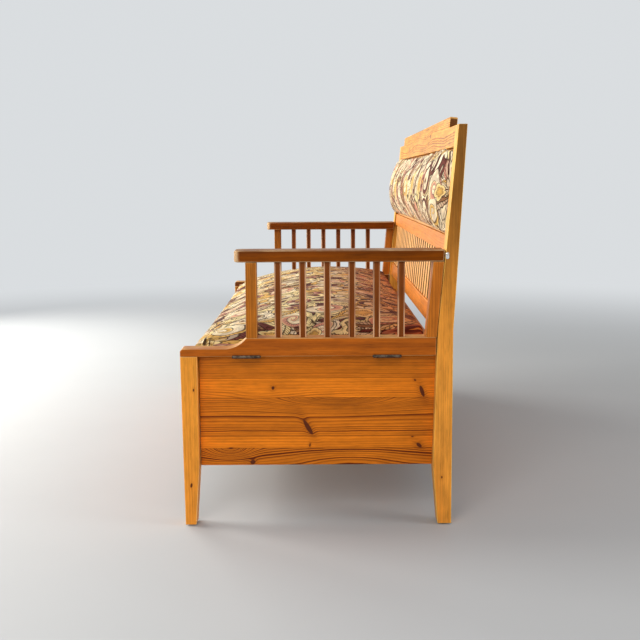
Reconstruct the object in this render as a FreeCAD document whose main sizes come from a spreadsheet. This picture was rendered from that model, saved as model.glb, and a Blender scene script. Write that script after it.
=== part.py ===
import FreeCAD, Part
import math
import os
import Sketcher

# Pine bench bed: the front of the seat slides out on runners to double the bed, its slats
# passing between the fixed ones, and both arms fold down outwards on butt hinges.
# Frame: +X to the right seen from the front, -Y to the front, +Z up, floor at zero, origin
# under the middle of the bench. Lengths in millimetres, angles in degrees.

SIZES = {
    # whole bench
    "bench_length": 1730,
    "seat_frame_depth": 657.2,
    "post_height": 970,
    "crest_rise": 27,
    "seam_height": 421.4,
    "deck_height": 408,
    "box_bottom_height": 145.5,
    "easing": 1.6,
    "corner_match": 0.3,
    "running_gap": 0.3,
    # legs and posts
    "leg_width": 54,
    "leg_depth": 41,
    "leg_front_taper": 4.6,
    "foot_depth": 26.5,
    "foot_width": 46,
    "taper_height": 150,
    "inner_taper_height": 146,
    "leg_easing": 2,
    "post_seat_depth": 37,
    "post_front_slant": 8.9,
    "post_top_depth": 21,
    "post_foot_depth": 33.5,
    "lean_height": 480,
    "back_lean": 5.14,
    "glide_height": 3,
    "glide_radius": 10,
    # end panels and the runner channel behind them
    "panel_inset": 28,
    "panel_thickness": 20,
    "pull_gap": 1.5,
    "runner_play": 2,
    "runner_width": 32,
    "runner_height": 46,
    "runner_tail_gap": 12,
    "lower_cleat_height": 22,
    "upper_cleat_width": 12,
    # seat boards, bearers and slats
    "seat_board_thickness": 20,
    "rear_board_inset": 4,
    "ledger_depth": 20,
    "ledger_height": 22,
    "bearer_depth": 30,
    "bearer_height": 24,
    "fixed_bearer_height": 45,
    "bearer_gap": 6,
    "moving_bearer_gap": 18,
    "seat_slat_width": 48,
    "seat_slat_gap": 7,
    "seat_slat_thickness": 18,
    # arms
    "end_rail_width": 54,
    "end_rail_height": 43.9,
    "stile_width": 43,
    "toe_height": 18.4,
    "toe_length": 136,
    "toe_radius": 7,
    "sweep_run": 24,
    "sweep_radius": 70,
    "stile_depth": 26,
    "rear_stile_gap": 1.5,
    "arm_end_gap": 2,
    "arm_top_height": 676,
    "arm_board_thickness": 28.4,
    "arm_board_width": 74,
    "arm_board_inset": 1.5,
    "arm_nose_overhang": 27.5,
    "arm_nose_radius": 18,
    "arm_board_easing": 4,
    "spindle_count": 6,
    "spindle_width": 17,
    "spindle_chamfer": 3,
    "last_spindle_allowance": 7.5,
    # butt hinges
    "hinge_length": 67,
    "hinge_leaf_width": 45,
    "hinge_leaf_thickness": 2,
    "hinge_knuckle_count": 5,
    "barrel_radius": 4,
    "barrel_clearance": 0.4,
    "tongue_bite": 3,
    "knuckle_gap": 0.3,
    "pin_radius": 2,
    "pin_play": 0.05,
    "pin_tip": 1.5,
    "mortise_play": 0.3,
    "rear_hinge_distance": 122,
    # turn buttons
    "button_length": 16,
    "button_width": 8,
    "button_thickness": 3,
    "button_drop": 10,
    "button_setback": 3.8,
    "button_play": 0.2,
    "washer_thickness": 1.2,
    "screw_radius": 1.75,
    "screw_play": 0.1,
    "screw_head_radius": 3.2,
    "screw_head_crown_radius": 2,
    "screw_head_height": 1.6,
    # back
    "back_rail_thickness": 22,
    "back_rail_inset": 5,
    "lower_rail_bottom": 466,
    "lower_rail_top": 515,
    "middle_rail_share": 0.3776,
    "middle_rail_height": 42,
    "back_slat_width": 32,
    "back_slat_depth": 12,
    "back_slat_inset": 10,
    "back_slat_spacing": 60,
    "crest_shoulder_height": 52,
    "crest_thickness": 19.5,
    "crest_step_distance": 180,
    "crest_step_radius": 8,
    "cushion_board_thickness": 8,
    "cushion_board_inset": 12,
    # cushions
    "seat_cushion_front_inset": 27,
    "seat_cushion_rear_gap": 13,
    "seat_cushion_end_gap": 2.5,
    "seat_cushion_front_height": 37,
    "seat_cushion_rear_height": 80,
    "seat_cushion_crown_rise": 46,
    "seat_cushion_draw_in": 5,
    "seat_cushion_side_bulge": 6,
    "seat_cushion_corner_inset": 8,
    "back_cushion_gap": 1,
    "back_cushion_edge_height": 24,
    "back_cushion_crown_rise": 32,
    "back_cushion_draw_in": 3,
    "back_cushion_side_bulge": 3,
    "back_cushion_corner_inset": 8,
}

# Stations along half a cushion, from its end to its middle, as shares of the half length, and
# there the shares of the edge height, the crown, the corner inset and the drawn-in side.
STATION_SHARES = (1.0, 0.985, 0.95, 0.88, 0.7, 0.4, 0.0)
EDGE_SHARES = (0.45, 0.85, 1.0, 1.0, 1.0, 1.0, 1.0)
CROWN_SHARES = (0.12, 0.34, 0.58, 0.8, 0.95, 1.0, 1.0)
CORNER_SHARES = (1.0, 0.3, 0.05, 0.0, 0.0, 0.0, 0.0)
DRAW_IN_SHARES = (0.0, 0.0, 0.0, 0.15, 0.5, 0.85, 1.0)

document = FreeCAD.newDocument("PullOutBenchBed")
sheet = document.addObject("Spreadsheet::Sheet", "Sizes")
for row, (name, number) in enumerate(SIZES.items(), start=1):
    sheet.set(f"A{row}", name)
    sheet.set(f"B{row}", str(number))
    sheet.setAlias(f"B{row}", name)
document.recompute()


class Size:
    """A length, angle or count, kept as a formula on the sheet of sizes."""

    def __init__(self, formula):
        self.formula = formula

    def __add__(self, other):
        return Size(f"({self.formula} + {formula_of(other)})")

    def __sub__(self, other):
        return Size(f"({self.formula} - {formula_of(other)})")

    def __mul__(self, other):
        return Size(f"({self.formula} * {formula_of(other)})")

    def __rmul__(self, other):
        return Size(f"({formula_of(other)} * {self.formula})")

    def __truediv__(self, other):
        return Size(f"({self.formula} / {formula_of(other)})")

    def __neg__(self):
        return Size(f"(-1 * {self.formula})")

    def value(self):
        return float(sheet.evalExpression(self.formula))


def formula_of(item):
    return item.formula if isinstance(item, Size) else repr(item)


def function_of(function, size):
    return Size(f"{function}({size.formula})")


class Sheet:
    """The named sizes as attributes."""

    def __getattr__(self, name):
        if name not in SIZES:
            raise AttributeError(name)
        return Size(f"Sizes.{name}")


size = Sheet()
NONE = Size("0")
SIDES = {"left": -1, "right": 1}
pieces = []

# Places that several pieces share, worked out from the sizes

lean_sine = function_of("sin", size.back_lean)
lean_cosine = function_of("cos", size.back_lean)
lean_tangent = function_of("tan", size.back_lean)
crest_top = size.post_height + size.crest_rise
crest_bottom = size.post_height - size.crest_shoulder_height
crest_reach = (crest_top - size.lean_height) * lean_tangent + size.crest_thickness * lean_cosine
total_depth = size.seat_frame_depth - size.post_seat_depth + crest_reach
middle_rail_bottom = size.lean_height + (size.post_height - size.lean_height) * size.middle_rail_share
middle_rail_top = middle_rail_bottom + size.middle_rail_height

outer = size.bench_length / 2
front = -total_depth / 2
leg_back = front + size.leg_depth
post_back = front + size.seat_frame_depth
post_front = post_back - size.post_seat_depth
post_low_front = post_front - size.post_front_slant
between_legs = outer - size.leg_width
panel_inner = outer - size.panel_inset - size.panel_thickness
cleat_inner = panel_inner - size.upper_cleat_width
panel_front = leg_back + size.pull_gap

rest_bottom = size.seam_height - size.running_gap / 2
rest_top = size.seam_height + size.running_gap / 2
slat_bottom = size.deck_height - size.seat_slat_thickness
bearer_top = slat_bottom - size.running_gap
runner_top = bearer_top - size.bearer_height
runner_bottom = runner_top - size.runner_height
runner_inner = panel_inner - size.runner_play - size.runner_width

rail_top = rest_top + size.end_rail_height
arm_bottom = size.arm_top_height - size.arm_board_thickness
sweep_foot = front + size.toe_length
stile_front = sweep_foot + size.sweep_run
stile_back = stile_front + size.stile_depth
barrel_reach = size.barrel_radius + size.barrel_clearance
hinge_axis = outer + barrel_reach


def post_front_at(height):
    """Front face of the leaning part of a post at a height."""
    return post_front + (height - size.lean_height) * lean_tangent


def low_front_at(height):
    """Front face of the lower part of a post, which slants less, at a height."""
    slope = size.post_front_slant / (size.lean_height - size.taper_height)
    return post_low_front + (height - size.taper_height) * slope


def circle_radius(chord, rise):
    """Radius of the arc over a chord with a rise at its middle."""
    return (chord * chord / 4 + rise * rise) / (2 * rise)


# Building blocks

def bind(feature, **sizes):
    for name, amount in sizes.items():
        feature.setExpression(name, amount.formula)


def place(piece, x, y, z, axis=None, angle=None):
    """Put a piece at a point, turned by an angle about an axis."""
    if axis is not None:
        start_angle = angle.value() if isinstance(angle, Size) else angle
        piece.Placement = FreeCAD.Placement(FreeCAD.Vector(), FreeCAD.Rotation(axis, start_angle))
    if isinstance(angle, Size):
        piece.setExpression(".Placement.Rotation.Angle", angle.formula)
    for letter, amount in zip("xyz", (x, y, z)):
        piece.setExpression(f".Placement.Base.{letter}", amount.formula)


X_AXIS = FreeCAD.Vector(1, 0, 0)
Y_AXIS = FreeCAD.Vector(0, 1, 0)
Z_AXIS = FreeCAD.Vector(0, 0, 1)
LEAN_TURN = -size.back_lean
FACE_FORWARD_TURN = Size("90") - size.back_lean
SMOOTH_DEGREES = 1


def new_body(label):
    body = document.addObject("PartDesign::Body", label)
    body.Label = label
    pieces.append(body)
    return body


def origin_feature(body, role):
    return next(item for item in body.Origin.OriginFeatures if item.Role == role)


def sharp_edges(shape):
    """Names of the edges where two faces meet at an angle, not smoothly."""
    names = []
    for number, edge in enumerate(shape.Edges, start=1):
        middle = edge.valueAt((edge.FirstParameter + edge.LastParameter) / 2)
        faces = shape.ancestorsOfType(edge, Part.Face)
        first, second = [face.normalAt(*face.Surface.parameter(middle)) for face in faces]
        if math.degrees(first.getAngle(second)) > SMOOTH_DEGREES:
            names.append(f"Edge{number}")
    return names


def round_corners(body, feature, name, radius, places):
    """Round the arrises that cross a piece's outline at some of its corners."""
    document.recompute()
    corners = [(first.value(), second.value()) for first, second in places]
    names = []
    for number, edge in enumerate(feature.Shape.Edges, start=1):
        spans = (edge.BoundBox.XLength, edge.BoundBox.YLength, edge.BoundBox.ZLength)
        along = spans.index(max(spans))
        middle = [amount for axis, amount in enumerate(edge.CenterOfMass) if axis != along]
        if any(math.dist(middle, corner) < size.corner_match.value() for corner in corners):
            names.append(f"Edge{number}")
    rounding = body.newObject("PartDesign::Fillet", name)
    rounding.Base = (feature, names)
    bind(rounding, Radius=radius)
    body.Tip = rounding
    return rounding


def ease(body, feature, radius, curved=False):
    """Round every arris of a wood piece; a curved outline has smooth edges to leave out."""
    rounding = body.newObject("PartDesign::Fillet", f"{body.Name}_easing")
    if curved:
        document.recompute()
        rounding.Base = (feature, sharp_edges(feature.Shape))
    else:
        rounding.Base = (feature, [""])
        rounding.UseAllEdges = True
    bind(rounding, Radius=radius)
    body.Tip = rounding
    return rounding


def board(label, corner, extent, easing=size.easing):
    """A straight board with its lowest corner and its extents, all arrises eased."""
    body = new_body(label)
    block = body.newObject("PartDesign::AdditiveBox", f"{label}_block")
    bind(block, Length=extent[0], Width=extent[1], Height=extent[2])
    ease(body, block, easing)
    place(body, *corner)
    return body


def arc_between(start, end, radius, side):
    """Arc under a half circle that bulges to the left (1) or right (-1) of the way it runs."""
    chord = end - start
    half = chord.Length / 2
    sagitta = radius - math.sqrt(max(radius * radius - half * half, 0))
    aside = FreeCAD.Vector(-chord.y, chord.x, 0).normalize() * sagitta * side
    return Part.Arc(start, (start + end) / 2 + aside, end)


def outline(body, plane, name, points, arcs, offset=NONE, bore=None):
    """Closed sketch through points.

    arcs gives, for the stretch after a point, an arc's radius and side, and for a shallow
    arc or a half circle also the height of its centre, which then fixes it.
    """
    sketch = body.newObject("Sketcher::SketchObject", name)
    sketch.AttachmentSupport = (origin_feature(body, plane), [""])
    sketch.MapMode = "FlatFace"
    sketch.setExpression(".AttachmentOffset.Base.z", offset.formula)
    corners = [FreeCAD.Vector(across.value(), up.value(), 0) for across, up in points]
    ends = []
    for index, start in enumerate(corners):
        end = corners[(index + 1) % len(corners)]
        if index in arcs:
            radius, side = arcs[index][:2]
            edge = arc_between(start, end, radius.value(), side)
        else:
            edge = Part.LineSegment(start, end)
        number = sketch.addGeometry(edge)
        drawn = sketch.Geometry[number]
        runs_forward = drawn.StartPoint.distanceToPoint(start) < drawn.StartPoint.distanceToPoint(end)
        ends.append((1, 2) if runs_forward else (2, 1))
    for index, (across, up) in enumerate(points):
        first, last = ends[index][0], ends[index - 1][1]
        previous = (index - 1) % len(points)
        sketch.addConstraint(Sketcher.Constraint("Coincident", previous, last, index, first))
        for kind, amount in (("DistanceX", across), ("DistanceY", up)):
            row = sketch.addConstraint(Sketcher.Constraint(kind, -1, 1, index, first, amount.value()))
            sketch.setExpression(f"Constraints[{row}]", amount.formula)
        if index in arcs and len(arcs[index]) > 2:
            centre = arcs[index][2]
            centred = Sketcher.Constraint("DistanceY", -1, 1, index, 3, centre.value())
            row = sketch.addConstraint(centred)
            sketch.setExpression(f"Constraints[{row}]", centre.formula)
        elif index in arcs:
            radius = arcs[index][0]
            row = sketch.addConstraint(Sketcher.Constraint("Radius", index, radius.value()))
            sketch.setExpression(f"Constraints[{row}]", radius.formula)
    if bore is not None:
        number = sketch.addGeometry(Part.Circle(FreeCAD.Vector(), Z_AXIS, bore.value()))
        sketch.addConstraint(Sketcher.Constraint("Coincident", number, 3, -1, 1))
        row = sketch.addConstraint(Sketcher.Constraint("Radius", number, bore.value()))
        sketch.setExpression(f"Constraints[{row}]", bore.formula)
    return sketch


def pad(body, sketch, length, backwards=False):
    feature = body.newObject("PartDesign::Pad", f"{body.Name}_pad")
    feature.Profile = sketch
    feature.Reversed = backwards
    bind(feature, Length=length)
    body.Tip = feature
    return feature


def repeat(body, originals, axis_role, pitch, count):
    """Set copies of a body's features side by side as separate solids."""
    pattern = body.newObject("PartDesign::LinearPattern", f"{body.Name}_pattern")
    pattern.Originals = originals
    pattern.Direction = (origin_feature(body, axis_role), [""])
    pattern.Mode = "Spacing"
    bind(pattern, Offset=pitch, Occurrences=count)
    body.Tip = pattern


def side_corner(side, inset, width):
    """Lowest X of a piece that lies an inset in from the bench's outer face."""
    return outer - inset - width if side == "right" else -outer + inset


def mortise(body, name, corner, extent):
    """A recess cut into a board, in the board's own frame."""
    recess = body.newObject("PartDesign::SubtractiveBox", name)
    bind(recess, Length=extent[0], Width=extent[1], Height=extent[2])
    place(recess, *corner)
    body.Tip = recess


# Legs and posts

def taper_foot(body, side):
    """Cut the inner face of a leg slantwise to its narrower foot."""
    inner = NONE if side == "right" else size.leg_width
    cut = (size.leg_width - size.foot_width) * SIDES[side]
    points = [
        (inner, size.inner_taper_height),
        (inner + cut, size.glide_height),
        (inner + cut, NONE),
        (inner - cut, NONE),
        (inner - cut, size.inner_taper_height),
    ]
    sketch = outline(body, "XZ_Plane", f"{body.Name}_taper", points, {})
    pocket = body.newObject("PartDesign::Pocket", f"{body.Name}_taper_cut")
    pocket.Profile = sketch
    pocket.Type = "ThroughAll"
    pocket.Midplane = True
    body.Tip = pocket


def front_leg(side):
    body = new_body(f"front_leg_{side}")
    foot_front = front + size.leg_front_taper
    points = [
        (foot_front, size.glide_height),
        (foot_front + size.foot_depth, size.glide_height),
        (leg_back, size.taper_height),
        (leg_back, rest_bottom),
        (front, rest_bottom),
    ]
    side_view = outline(body, "YZ_Plane", f"{body.Name}_side", points, {})
    ease(body, pad(body, side_view, size.leg_width), size.leg_easing)
    taper_foot(body, side)
    place(body, side_corner(side, NONE, size.leg_width), NONE, NONE)


def rear_post(side):
    body = new_body(f"rear_post_{side}")
    top_front = post_front_at(size.post_height)
    top_back = top_front + size.post_top_depth
    points = [
        (post_back - size.post_foot_depth, size.glide_height),
        (post_back, size.glide_height),
        (post_back, size.lean_height),
        (top_back, size.post_height),
        (top_front, size.post_height),
        (post_front, size.lean_height),
        (post_low_front, size.taper_height),
    ]
    side_view = outline(body, "YZ_Plane", f"{body.Name}_side", points, {})
    ease(body, pad(body, side_view, size.leg_width), size.leg_easing)
    taper_foot(body, side)
    place(body, side_corner(side, NONE, size.leg_width), NONE, NONE)


def glide(label, side, foot_middle):
    """Nail-on glide under a foot."""
    disc = document.addObject("Part::Cylinder", label)
    disc.Label = label
    bind(disc, Radius=size.glide_radius, Height=size.glide_height)
    place(disc, (outer - size.foot_width / 2) * SIDES[side], foot_middle, NONE)
    pieces.append(disc)


for side in SIDES:
    front_leg(side)
    rear_post(side)
    glide(f"front_glide_{side}", side, front + size.leg_front_taper + size.foot_depth / 2)
    glide(f"rear_glide_{side}", side, post_back - size.post_foot_depth / 2)

# End panels with the channel for the runners

front_hinge_middle = stile_front
rear_hinge_middle = post_front - size.rear_hinge_distance
hinge_middles = {"front": front_hinge_middle, "rear": rear_hinge_middle}
mortise_length = size.hinge_length + 2 * size.mortise_play


def end_panel(side):
    """Panel between leg and post, its rear edge cut along the post."""
    body = new_body(f"end_panel_{side}")
    points = [
        (panel_front, size.box_bottom_height),
        (low_front_at(size.box_bottom_height), size.box_bottom_height),
        (low_front_at(rest_bottom), rest_bottom),
        (panel_front, rest_bottom),
    ]
    side_view = outline(body, "YZ_Plane", f"{body.Name}_side", points, {})
    ease(body, pad(body, side_view, size.panel_thickness), size.easing)
    for end, middle in hinge_middles.items():
        start = (NONE, middle - mortise_length / 2, rest_bottom - size.hinge_leaf_thickness)
        extent = (size.panel_thickness, mortise_length, size.hinge_leaf_thickness)
        mortise(body, f"{body.Name}_{end}_mortise", start, extent)
    place(body, side_corner(side, size.panel_inset, size.panel_thickness), NONE, NONE)


def channel_and_runner(side):
    panel_face = size.panel_inset + size.panel_thickness
    depth = post_low_front - panel_front
    lower_width = size.runner_play + size.runner_width
    lower_top = runner_bottom - size.running_gap
    lower_corner = (
        side_corner(side, panel_face, lower_width),
        panel_front,
        lower_top - size.lower_cleat_height,
    )
    board(f"lower_cleat_{side}", lower_corner, (lower_width, depth, size.lower_cleat_height))
    upper_bottom = runner_top + size.running_gap
    upper_corner = (side_corner(side, panel_face, size.upper_cleat_width), panel_front, upper_bottom)
    board(f"upper_cleat_{side}", upper_corner, (size.upper_cleat_width, depth, bearer_top - upper_bottom))
    runner_x = side_corner(side, panel_face + size.runner_play, size.runner_width)
    runner_length = post_low_front - size.runner_tail_gap - leg_back
    runner_extent = (size.runner_width, runner_length, size.runner_height)
    board(f"runner_{side}", (runner_x, leg_back, runner_bottom), runner_extent)


for side in SIDES:
    end_panel(side)
    channel_and_runner(side)

# Front and rear boards of the seat with their ledgers

seat_board_height = size.deck_height - size.box_bottom_height
rear_board_front = post_front + size.rear_board_inset
ledger_bottom = slat_bottom - size.ledger_height
seat_board_extent = (2 * between_legs, size.seat_board_thickness, seat_board_height)

board(
    "front_board",
    (-between_legs, leg_back - size.seat_board_thickness, size.box_bottom_height),
    seat_board_extent,
)
board(
    "rear_board",
    (-between_legs, rear_board_front, size.box_bottom_height),
    seat_board_extent,
)
board(
    "front_ledger",
    (-runner_inner, leg_back, ledger_bottom),
    (2 * runner_inner, size.ledger_depth, size.ledger_height),
)
rear_ledger_front = rear_board_front - size.ledger_depth
board(
    "rear_ledger",
    (-cleat_inner, rear_ledger_front, ledger_bottom),
    (2 * cleat_inner, size.ledger_depth, size.ledger_height),
)

# Bearers: the fixed one is notched over the runners, the moving one rides on them

fixed_bearer_front = leg_back + size.ledger_depth + size.bearer_gap
moving_bearer_back = rear_ledger_front - size.moving_bearer_gap


def fixed_front_bearer():
    body = new_body("fixed_front_bearer")
    notch = runner_inner - size.runner_play
    low = bearer_top - size.fixed_bearer_height
    notch_top = runner_top + size.running_gap
    points = [
        (-notch, low),
        (notch, low),
        (notch, notch_top),
        (cleat_inner, notch_top),
        (cleat_inner, bearer_top),
        (-cleat_inner, bearer_top),
        (-cleat_inner, notch_top),
        (-notch, notch_top),
    ]
    sketch = outline(body, "XZ_Plane", "fixed_front_bearer_face", points, {})
    ease(body, pad(body, sketch, size.bearer_depth, backwards=True), size.easing)
    place(body, NONE, fixed_bearer_front, NONE)


fixed_front_bearer()
moving_bearer_end = cleat_inner - size.runner_play
board(
    "moving_rear_bearer",
    (-moving_bearer_end, moving_bearer_back - size.bearer_depth, runner_top),
    (2 * moving_bearer_end, size.bearer_depth, size.bearer_height),
)

# Seat slats: the moving ones lie in the gaps between the fixed ones

slat_step = size.seat_slat_width + size.seat_slat_gap
slat_slots = function_of("floor", (2 * cleat_inner + size.seat_slat_gap) / slat_step)
first_slat = -(slat_slots * slat_step - size.seat_slat_gap) / 2


def seat_slats(label, start_x, from_y, to_y, count):
    extent = (size.seat_slat_width, to_y - from_y, size.seat_slat_thickness)
    body = board(label, (start_x, from_y, slat_bottom), extent)
    body.AllowCompound = True
    repeat(body, [item for item in body.Group if item != body.Origin], "X_Axis", 2 * slat_step, count)


seat_slats("moving_slats", first_slat, leg_back, moving_bearer_back, function_of("ceil", slat_slots / 2))
seat_slats(
    "fixed_slats",
    first_slat + slat_step,
    fixed_bearer_front,
    rear_board_front,
    function_of("floor", slat_slots / 2),
)

# Arms


def end_rail(side):
    body = new_body(f"end_rail_{side}")
    toe_top = rest_top + size.toe_height
    rail_end = low_front_at(rest_top) - size.arm_end_gap
    toe = (front, toe_top)
    foot_of_sweep = (sweep_foot, toe_top)
    points = [
        (front, rest_top),
        (rail_end, rest_top),
        (rail_end, rail_top),
        (stile_front, rail_top),
        foot_of_sweep,
        toe,
    ]
    beam = pad(body, outline(body, "YZ_Plane", f"{body.Name}_side", points, {}), size.end_rail_width)
    swept = round_corners(body, beam, f"{body.Name}_sweep", size.sweep_radius, [foot_of_sweep])
    toed = round_corners(body, swept, f"{body.Name}_toe", size.toe_radius, [toe])
    ease(body, toed, size.easing, curved=True)
    leaf_reach = size.hinge_leaf_width - barrel_reach + size.mortise_play
    recess_x = size.end_rail_width - leaf_reach if side == "right" else NONE
    for end, middle in hinge_middles.items():
        start = (recess_x, middle - mortise_length / 2, rest_top)
        extent = (leaf_reach, mortise_length, size.hinge_leaf_thickness)
        mortise(body, f"{body.Name}_{end}_mortise", start, extent)
    place(body, side_corner(side, NONE, size.end_rail_width), NONE, NONE)


def rear_stile(side):
    """Stile that leans beside the post."""
    body = new_body(f"rear_stile_{side}")
    low_back = post_front_at(rail_top) - size.rear_stile_gap
    high_back = post_front_at(arm_bottom) - size.rear_stile_gap
    points = [
        (low_back - size.stile_depth, rail_top),
        (low_back, rail_top),
        (high_back, arm_bottom),
        (high_back - size.stile_depth, arm_bottom),
    ]
    sketch = outline(body, "YZ_Plane", f"{body.Name}_side", points, {})
    ease(body, pad(body, sketch, size.stile_width), size.easing)
    place(body, side_corner(side, NONE, size.stile_width), NONE, NONE)


def arm_spindles(side):
    """Square spindles with chamfered arrises, evenly spread between the stiles."""
    body = new_body(f"arm_spindles_{side}")
    body.AllowCompound = True
    half = size.spindle_width / 2
    flat = half - size.spindle_chamfer
    points = [
        (-flat, -half), (flat, -half), (half, -flat), (half, flat),
        (flat, half), (-flat, half), (-half, flat), (-half, -flat),
    ]
    spindle = pad(body, outline(body, "XY_Plane", f"{body.Name}_section", points, {}), arm_bottom - rail_top)
    rear_stile_front = post_front_at(rail_top) - size.rear_stile_gap - size.stile_depth
    room = rear_stile_front - stile_back + size.spindle_width - size.last_spindle_allowance
    pitch = room / (size.spindle_count + 1)
    repeat(body, [spindle], "Y_Axis", pitch, size.spindle_count)
    middle_x = (outer - size.stile_width / 2) * SIDES[side]
    place(body, middle_x, stile_back - half + pitch, rail_top)


def arm_board(side):
    """Flat arm with rounded front corners, its rear end cut along the post."""
    body = new_body(f"arm_board_{side}")
    nose = stile_front - size.arm_nose_overhang
    points = [
        (nose, arm_bottom),
        (post_front_at(arm_bottom) - size.arm_end_gap, arm_bottom),
        (post_front_at(size.arm_top_height) - size.arm_end_gap, size.arm_top_height),
        (nose, size.arm_top_height),
    ]
    sketch = outline(body, "YZ_Plane", f"{body.Name}_side", points, {})
    plank = pad(body, sketch, size.arm_board_width)
    nose_corners = [(NONE, nose), (size.arm_board_width, nose)]
    nosed = round_corners(body, plank, f"{body.Name}_nose", size.arm_nose_radius, nose_corners)
    ease(body, nosed, size.arm_board_easing, curved=True)
    place(body, side_corner(side, size.arm_board_inset, size.arm_board_width), NONE, NONE)


for side in SIDES:
    end_rail(side)
    stile_extent = (size.stile_width, size.stile_depth, arm_bottom - rail_top)
    stile_corner = (side_corner(side, NONE, size.stile_width), stile_front, rail_top)
    board(f"front_stile_{side}", stile_corner, stile_extent)
    rear_stile(side)
    arm_spindles(side)
    arm_board(side)

# Butt hinges, each in a frame with its axis along Y and the leaves to one side of it

knuckle_length = (size.hinge_length + size.knuckle_gap) / size.hinge_knuckle_count - size.knuckle_gap
knuckle_step = knuckle_length + size.knuckle_gap


def primitive(kind, name, **sizes):
    solid = document.addObject(kind, name)
    bind(solid, **sizes)
    return solid


def along_y(solid, from_y):
    place(solid, NONE, from_y, NONE, X_AXIS, -90)
    return solid


def hinge_leaf(label, upper, knuckles):
    """A leaf with its share of the knuckles, counted from the front."""
    low = size.running_gap / 2 if upper else -size.running_gap / 2 - size.hinge_leaf_thickness
    plate = primitive(
        "Part::Box",
        f"{label}_plate",
        Length=size.hinge_leaf_width - barrel_reach,
        Width=size.hinge_length,
        Height=size.hinge_leaf_thickness,
    )
    place(plate, -size.hinge_leaf_width, -size.hinge_length / 2, low)
    members = [plate]
    for knuckle in knuckles:
        start = -size.hinge_length / 2 + knuckle * knuckle_step
        tongue = primitive(
            "Part::Box",
            f"{label}_tongue_{knuckle}",
            Length=barrel_reach - size.tongue_bite,
            Width=knuckle_length,
            Height=size.hinge_leaf_thickness,
        )
        place(tongue, -barrel_reach, start, low)
        barrel = primitive(
            "Part::Cylinder",
            f"{label}_barrel_{knuckle}",
            Radius=size.barrel_radius,
            Height=knuckle_length,
        )
        members += [tongue, along_y(barrel, start)]
    joined = document.addObject("Part::MultiFuse", f"{label}_joined")
    joined.Shapes = members
    bore = primitive(
        "Part::Cylinder",
        f"{label}_bore",
        Radius=size.pin_radius + size.pin_play,
        Height=size.hinge_length + 2 * size.pin_tip,
    )
    leaf = document.addObject("Part::Cut", label)
    leaf.Base = joined
    leaf.Tool = along_y(bore, -size.hinge_length / 2 - size.pin_tip)
    leaf.Label = label
    pieces.append(leaf)
    return leaf


def hinge_pin(label):
    pin = primitive(
        "Part::Cylinder",
        label,
        Radius=size.pin_radius,
        Height=size.hinge_length + 2 * size.pin_tip,
    )
    pin.Label = label
    pieces.append(pin)
    return pin


def put_hinge(piece, side, middle):
    turn = 0 if side == "right" else 180
    place(piece, hinge_axis * SIDES[side], middle, size.seam_height, Z_AXIS, turn)


for side in SIDES:
    for end, middle in hinge_middles.items():
        place_name = f"{end}_{side}"
        all_knuckles = range(SIZES["hinge_knuckle_count"])
        put_hinge(hinge_leaf(f"hinge_lower_leaf_{place_name}", False, all_knuckles[::2]), side, middle)
        put_hinge(hinge_leaf(f"hinge_upper_leaf_{place_name}", True, all_knuckles[1::2]), side, middle)
        pin = hinge_pin(f"hinge_pin_{place_name}")
        place(
            pin,
            hinge_axis * SIDES[side],
            middle - size.hinge_length / 2 - size.pin_tip,
            size.seam_height,
            X_AXIS,
            -90,
        )

# Turn buttons on the posts, hanging down and free of the arms

button_height = size.arm_top_height - size.button_drop
button_y = post_front_at(button_height) + size.button_setback
button_start = size.washer_thickness + size.button_play


def turn_button(side):
    body = new_body(f"turn_button_{side}")
    half = size.button_width / 2
    low = size.button_width - size.button_length
    points = [(-half, low), (half, low), (half, NONE), (-half, NONE)]
    arcs = {0: (half, -1, low), 2: (half, -1, NONE)}
    bore = size.screw_radius + size.screw_play
    sketch = outline(body, "YZ_Plane", f"{body.Name}_face", points, arcs, bore=bore)
    pad(body, sketch, size.button_thickness)
    start = outer + button_start
    corner = start if side == "right" else -start - size.button_thickness
    place(body, corner, button_y, button_height)


def turn_button_screw(side):
    """Round-headed screw with its washer, standing out from the post."""
    label = f"turn_button_screw_{side}"
    shank_length = button_start + size.button_thickness + size.button_play
    washer = primitive(
        "Part::Cylinder", f"{label}_washer", Radius=size.button_width / 2, Height=size.washer_thickness
    )
    shank = primitive("Part::Cylinder", f"{label}_shank", Radius=size.screw_radius, Height=shank_length)
    head = primitive(
        "Part::Cone",
        f"{label}_head",
        Radius1=size.screw_head_radius,
        Radius2=size.screw_head_crown_radius,
        Height=size.screw_head_height,
    )
    place(head, NONE, NONE, shank_length)
    screw = document.addObject("Part::MultiFuse", label)
    screw.Shapes = [washer, shank, head]
    screw.Label = label
    place(screw, outer * SIDES[side], button_y, button_height, Y_AXIS, 90 * SIDES[side])
    pieces.append(screw)


for side in SIDES:
    turn_button(side)
    turn_button_screw(side)

# Back between the posts, leaning with them

back_length = 2 * between_legs


def lean_place(piece, x, height, inset, turn=LEAN_TURN):
    """Put a piece on the leaning front plane of the posts, an inset behind it."""
    y = post_front_at(height) + inset * lean_cosine
    z = height - inset * lean_sine
    place(piece, x, y, z, X_AXIS, turn)


def leaning_board(label, bottom, top, inset, thickness):
    body = board(label, (NONE, NONE, NONE), (back_length, thickness, (top - bottom) / lean_cosine))
    lean_place(body, -between_legs, bottom, inset)


def back_slats():
    label = "back_slats"
    height = (middle_rail_bottom - size.lower_rail_top) / lean_cosine
    body = board(label, (NONE, NONE, NONE), (size.back_slat_width, size.back_slat_depth, height))
    body.AllowCompound = True
    spacing = size.back_slat_spacing
    count = function_of("floor", (back_length - size.back_slat_width) / spacing)
    repeat(body, [item for item in body.Group if item != body.Origin], "X_Axis", spacing, count)
    first = -((count - 1) * spacing + size.back_slat_width) / 2
    lean_place(body, first, size.lower_rail_top, size.back_slat_inset)


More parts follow.
